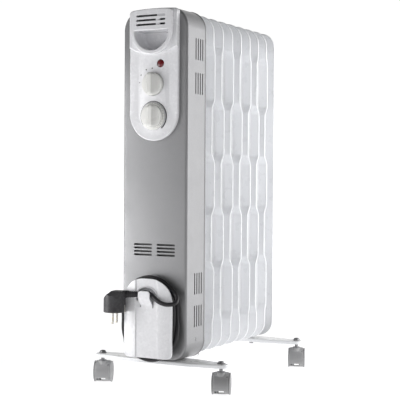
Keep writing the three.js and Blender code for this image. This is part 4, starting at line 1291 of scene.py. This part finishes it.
def make_casters():
    floor = -HOME.translation.z / MM
    for name, x, y, yaw in CASTERS:
        turn = Matrix.Rotation(math.radians(yaw), 4, "Z")
        on_floor = HOME @ Matrix.Translation((x, y, floor)) @ turn
        in_foot = HOME @ Matrix.Translation((x, y, 0)) @ turn
        finish(caster_hood(name), GREY, f"{name}_swivel", (f"{name}_hood",), 32, on_floor)
        finish(caster_stem(name), STEEL, MAIN, (f"{name}_stem",), place=in_foot)
        for side, way in ((-1, "left"), (1, "right")):
            finish(caster_wheel(name, side), GREY, f"{name}_{way}_wheel",
                   (f"{name}_wheel_{way}",), place=on_floor)
        repaint(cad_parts[f"{name}_axle"], ZINC)


def repaint(node, look):
    for slot in node.material_slots:
        slot.material = look


make_casters()


# ---- CAD pieces that keep their shape ----

for node_name, look in (("control_box_back_plate", ZINC), ("heating_element", ELEMENT), ("thermostat", ZINC),
                        ("thermostat_shaft", ZINC), ("pilot_lamp_holder", INNER_AND_SHADE), ("power_switch", INNER_AND_SHADE),
                        ("power_switch_shaft", INNER_AND_SHADE), ("thermal_cutout", INNER_AND_SHADE), ("tilt_switch", INNER_AND_SHADE)):
    repaint(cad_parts[node_name], look)


def make_filler_plug():
    """The crimped hexagon plug on the last fin's upper hub."""
    back = FIRST_SEAM + (FIN_COUNT - 1) * PITCH + CHANNEL_HALF + 2
    middle = (0, 0, HUB_HIGH)
    head = [(0, back + 1), (7, back + 1), (7, back + 2.5), (6.2, back + 3), (0, back + 3)]
    plug = solid("oil_plug_hexagon", turned(head, 6, "Y", middle))
    soften(plug, 0.3)
    washer = [(0, back + 0.2), (8.6, back + 0.2), (8.8, back + 0.5), (8.6, back + 1.2), (0, back + 1.2)]
    join_into(plug, solid("washer", turned(washer, 40, "Y", middle)))
    finish(plug, ZINC, replaces=("oil_filler_plug",))


make_filler_plug()


# ---- Floor and light ----

def make_floor():
    """A pale floor that glows, more so further out, so that only soft shadows show on it."""
    reach = 30
    mesh = bpy.data.meshes.new("floor")
    corners = [(-reach, -reach, 0), (reach, -reach, 0), (reach, reach, 0), (-reach, reach, 0)]
    mesh.from_pydata(corners, [], [(0, 1, 2, 3)])
    floor = bpy.data.objects.new("floor", mesh)
    bpy.context.scene.collection.objects.link(floor)
    look = Look("pale_floor", Roughness=0.8, Specular_IOR_Level=0.0)
    look.shader.inputs["Emission Color"].default_value = (1, 1, 1, 1)
    away = look.node("ShaderNodeVectorMath", operation="LENGTH")
    look.join(look.place, away.inputs[0])
    glow = look.mapped(away.outputs["Value"], 0.83, 1.0, 0.5, 1.3)
    look.join(glow, look.shader.inputs["Emission Strength"])
    mesh.materials.append(look.finished(look.blend(look.noise(2), (0.46, 0.46, 0.465), (0.48, 0.48, 0.485))))


def area_light(name, place, target, size, power):
    """A softbox that lights the heater without showing itself."""
    data = bpy.data.lights.new(name, "AREA")
    data.shape = "RECTANGLE"
    data.size, data.size_y = size
    data.energy = power
    light = bpy.data.objects.new(name, data)
    light.location = place
    light.rotation_euler = (Vector(target) - Vector(place)).to_track_quat("-Z", "Y").to_euler()
    light.visible_camera = False
    bpy.context.scene.collection.objects.link(light)


SKY = (
    # direction to the middle of a bright patch, its angle at full and at no strength, its strength
    ((-0.477, 0.879, 0.0), 22, 50, 1.02),
    ((0.70, 0.70, 0.10), 20, 60, 1.0),
)
SKY_BASE = 0.13


def make_sky():
    """A dark studio with two bright patches: the end behind the heater, and a card behind its right side."""
    world = bpy.data.worlds.new("studio")
    world.use_nodes = True
    tree = world.node_tree
    place = tree.nodes.new("ShaderNodeTexCoord").outputs["Generated"]
    total = None
    for direction, full, none, strength in SKY:
        aim = tree.nodes.new("ShaderNodeVectorMath")
        aim.operation = "DOT_PRODUCT"
        tree.links.new(place, aim.inputs[0])
        aim.inputs[1].default_value = Vector(direction).normalized()
        patch = tree.nodes.new("ShaderNodeMapRange")
        patch.interpolation_type = "SMOOTHSTEP"
        patch.inputs["From Min"].default_value = math.cos(math.radians(none))
        patch.inputs["From Max"].default_value = math.cos(math.radians(full))
        patch.inputs["To Min"].default_value = SKY_BASE if total is None else 0
        patch.inputs["To Max"].default_value = strength
        tree.links.new(aim.outputs["Value"], patch.inputs["Value"])
        if total is None:
            total = patch.outputs["Result"]
        else:
            most = tree.nodes.new("ShaderNodeMath")
            most.operation = "MAXIMUM"
            tree.links.new(total, most.inputs[0])
            tree.links.new(patch.outputs["Result"], most.inputs[1])
            total = most.outputs[0]
    tree.links.new(total, tree.nodes["Background"].inputs["Strength"])
    tree.nodes["Background"].inputs["Color"].default_value = (1, 1, 1, 1)
    bpy.context.scene.world = world


def make_light():
    make_sky()
    area_light("key", (-1.5, -1.6, 1.3), (0, 0, 0.35), (0.8, 0.8), 2)
    area_light("fill", (1.3, -1.3, 0.2), (0, -0.1, 0.2), (0.8, 0.8), 1.5)
    area_light("strip", (-0.27, -0.37, 0.29), (-0.02, -0.17, 0.29), (0.14, 0.55), 0.95)
    area_light("low_strip", (-0.24, -0.36, 0.20), (-0.06, -0.17, 0.22), (0.08, 0.16), 0.12)
    area_light("side", (2.2, 1.3, 1.0), (0, 0.1, 0.3), (0.8, 1.6), 18)
    area_light("near_side", (0.36, 0.24, 0.34), (0.06, 0.22, 0.34), (0.45, 0.75), 1.6)
    bpy.context.scene.view_settings.view_transform = "Standard"
    bpy.context.scene.view_settings.look = "None"


make_floor()
make_light()
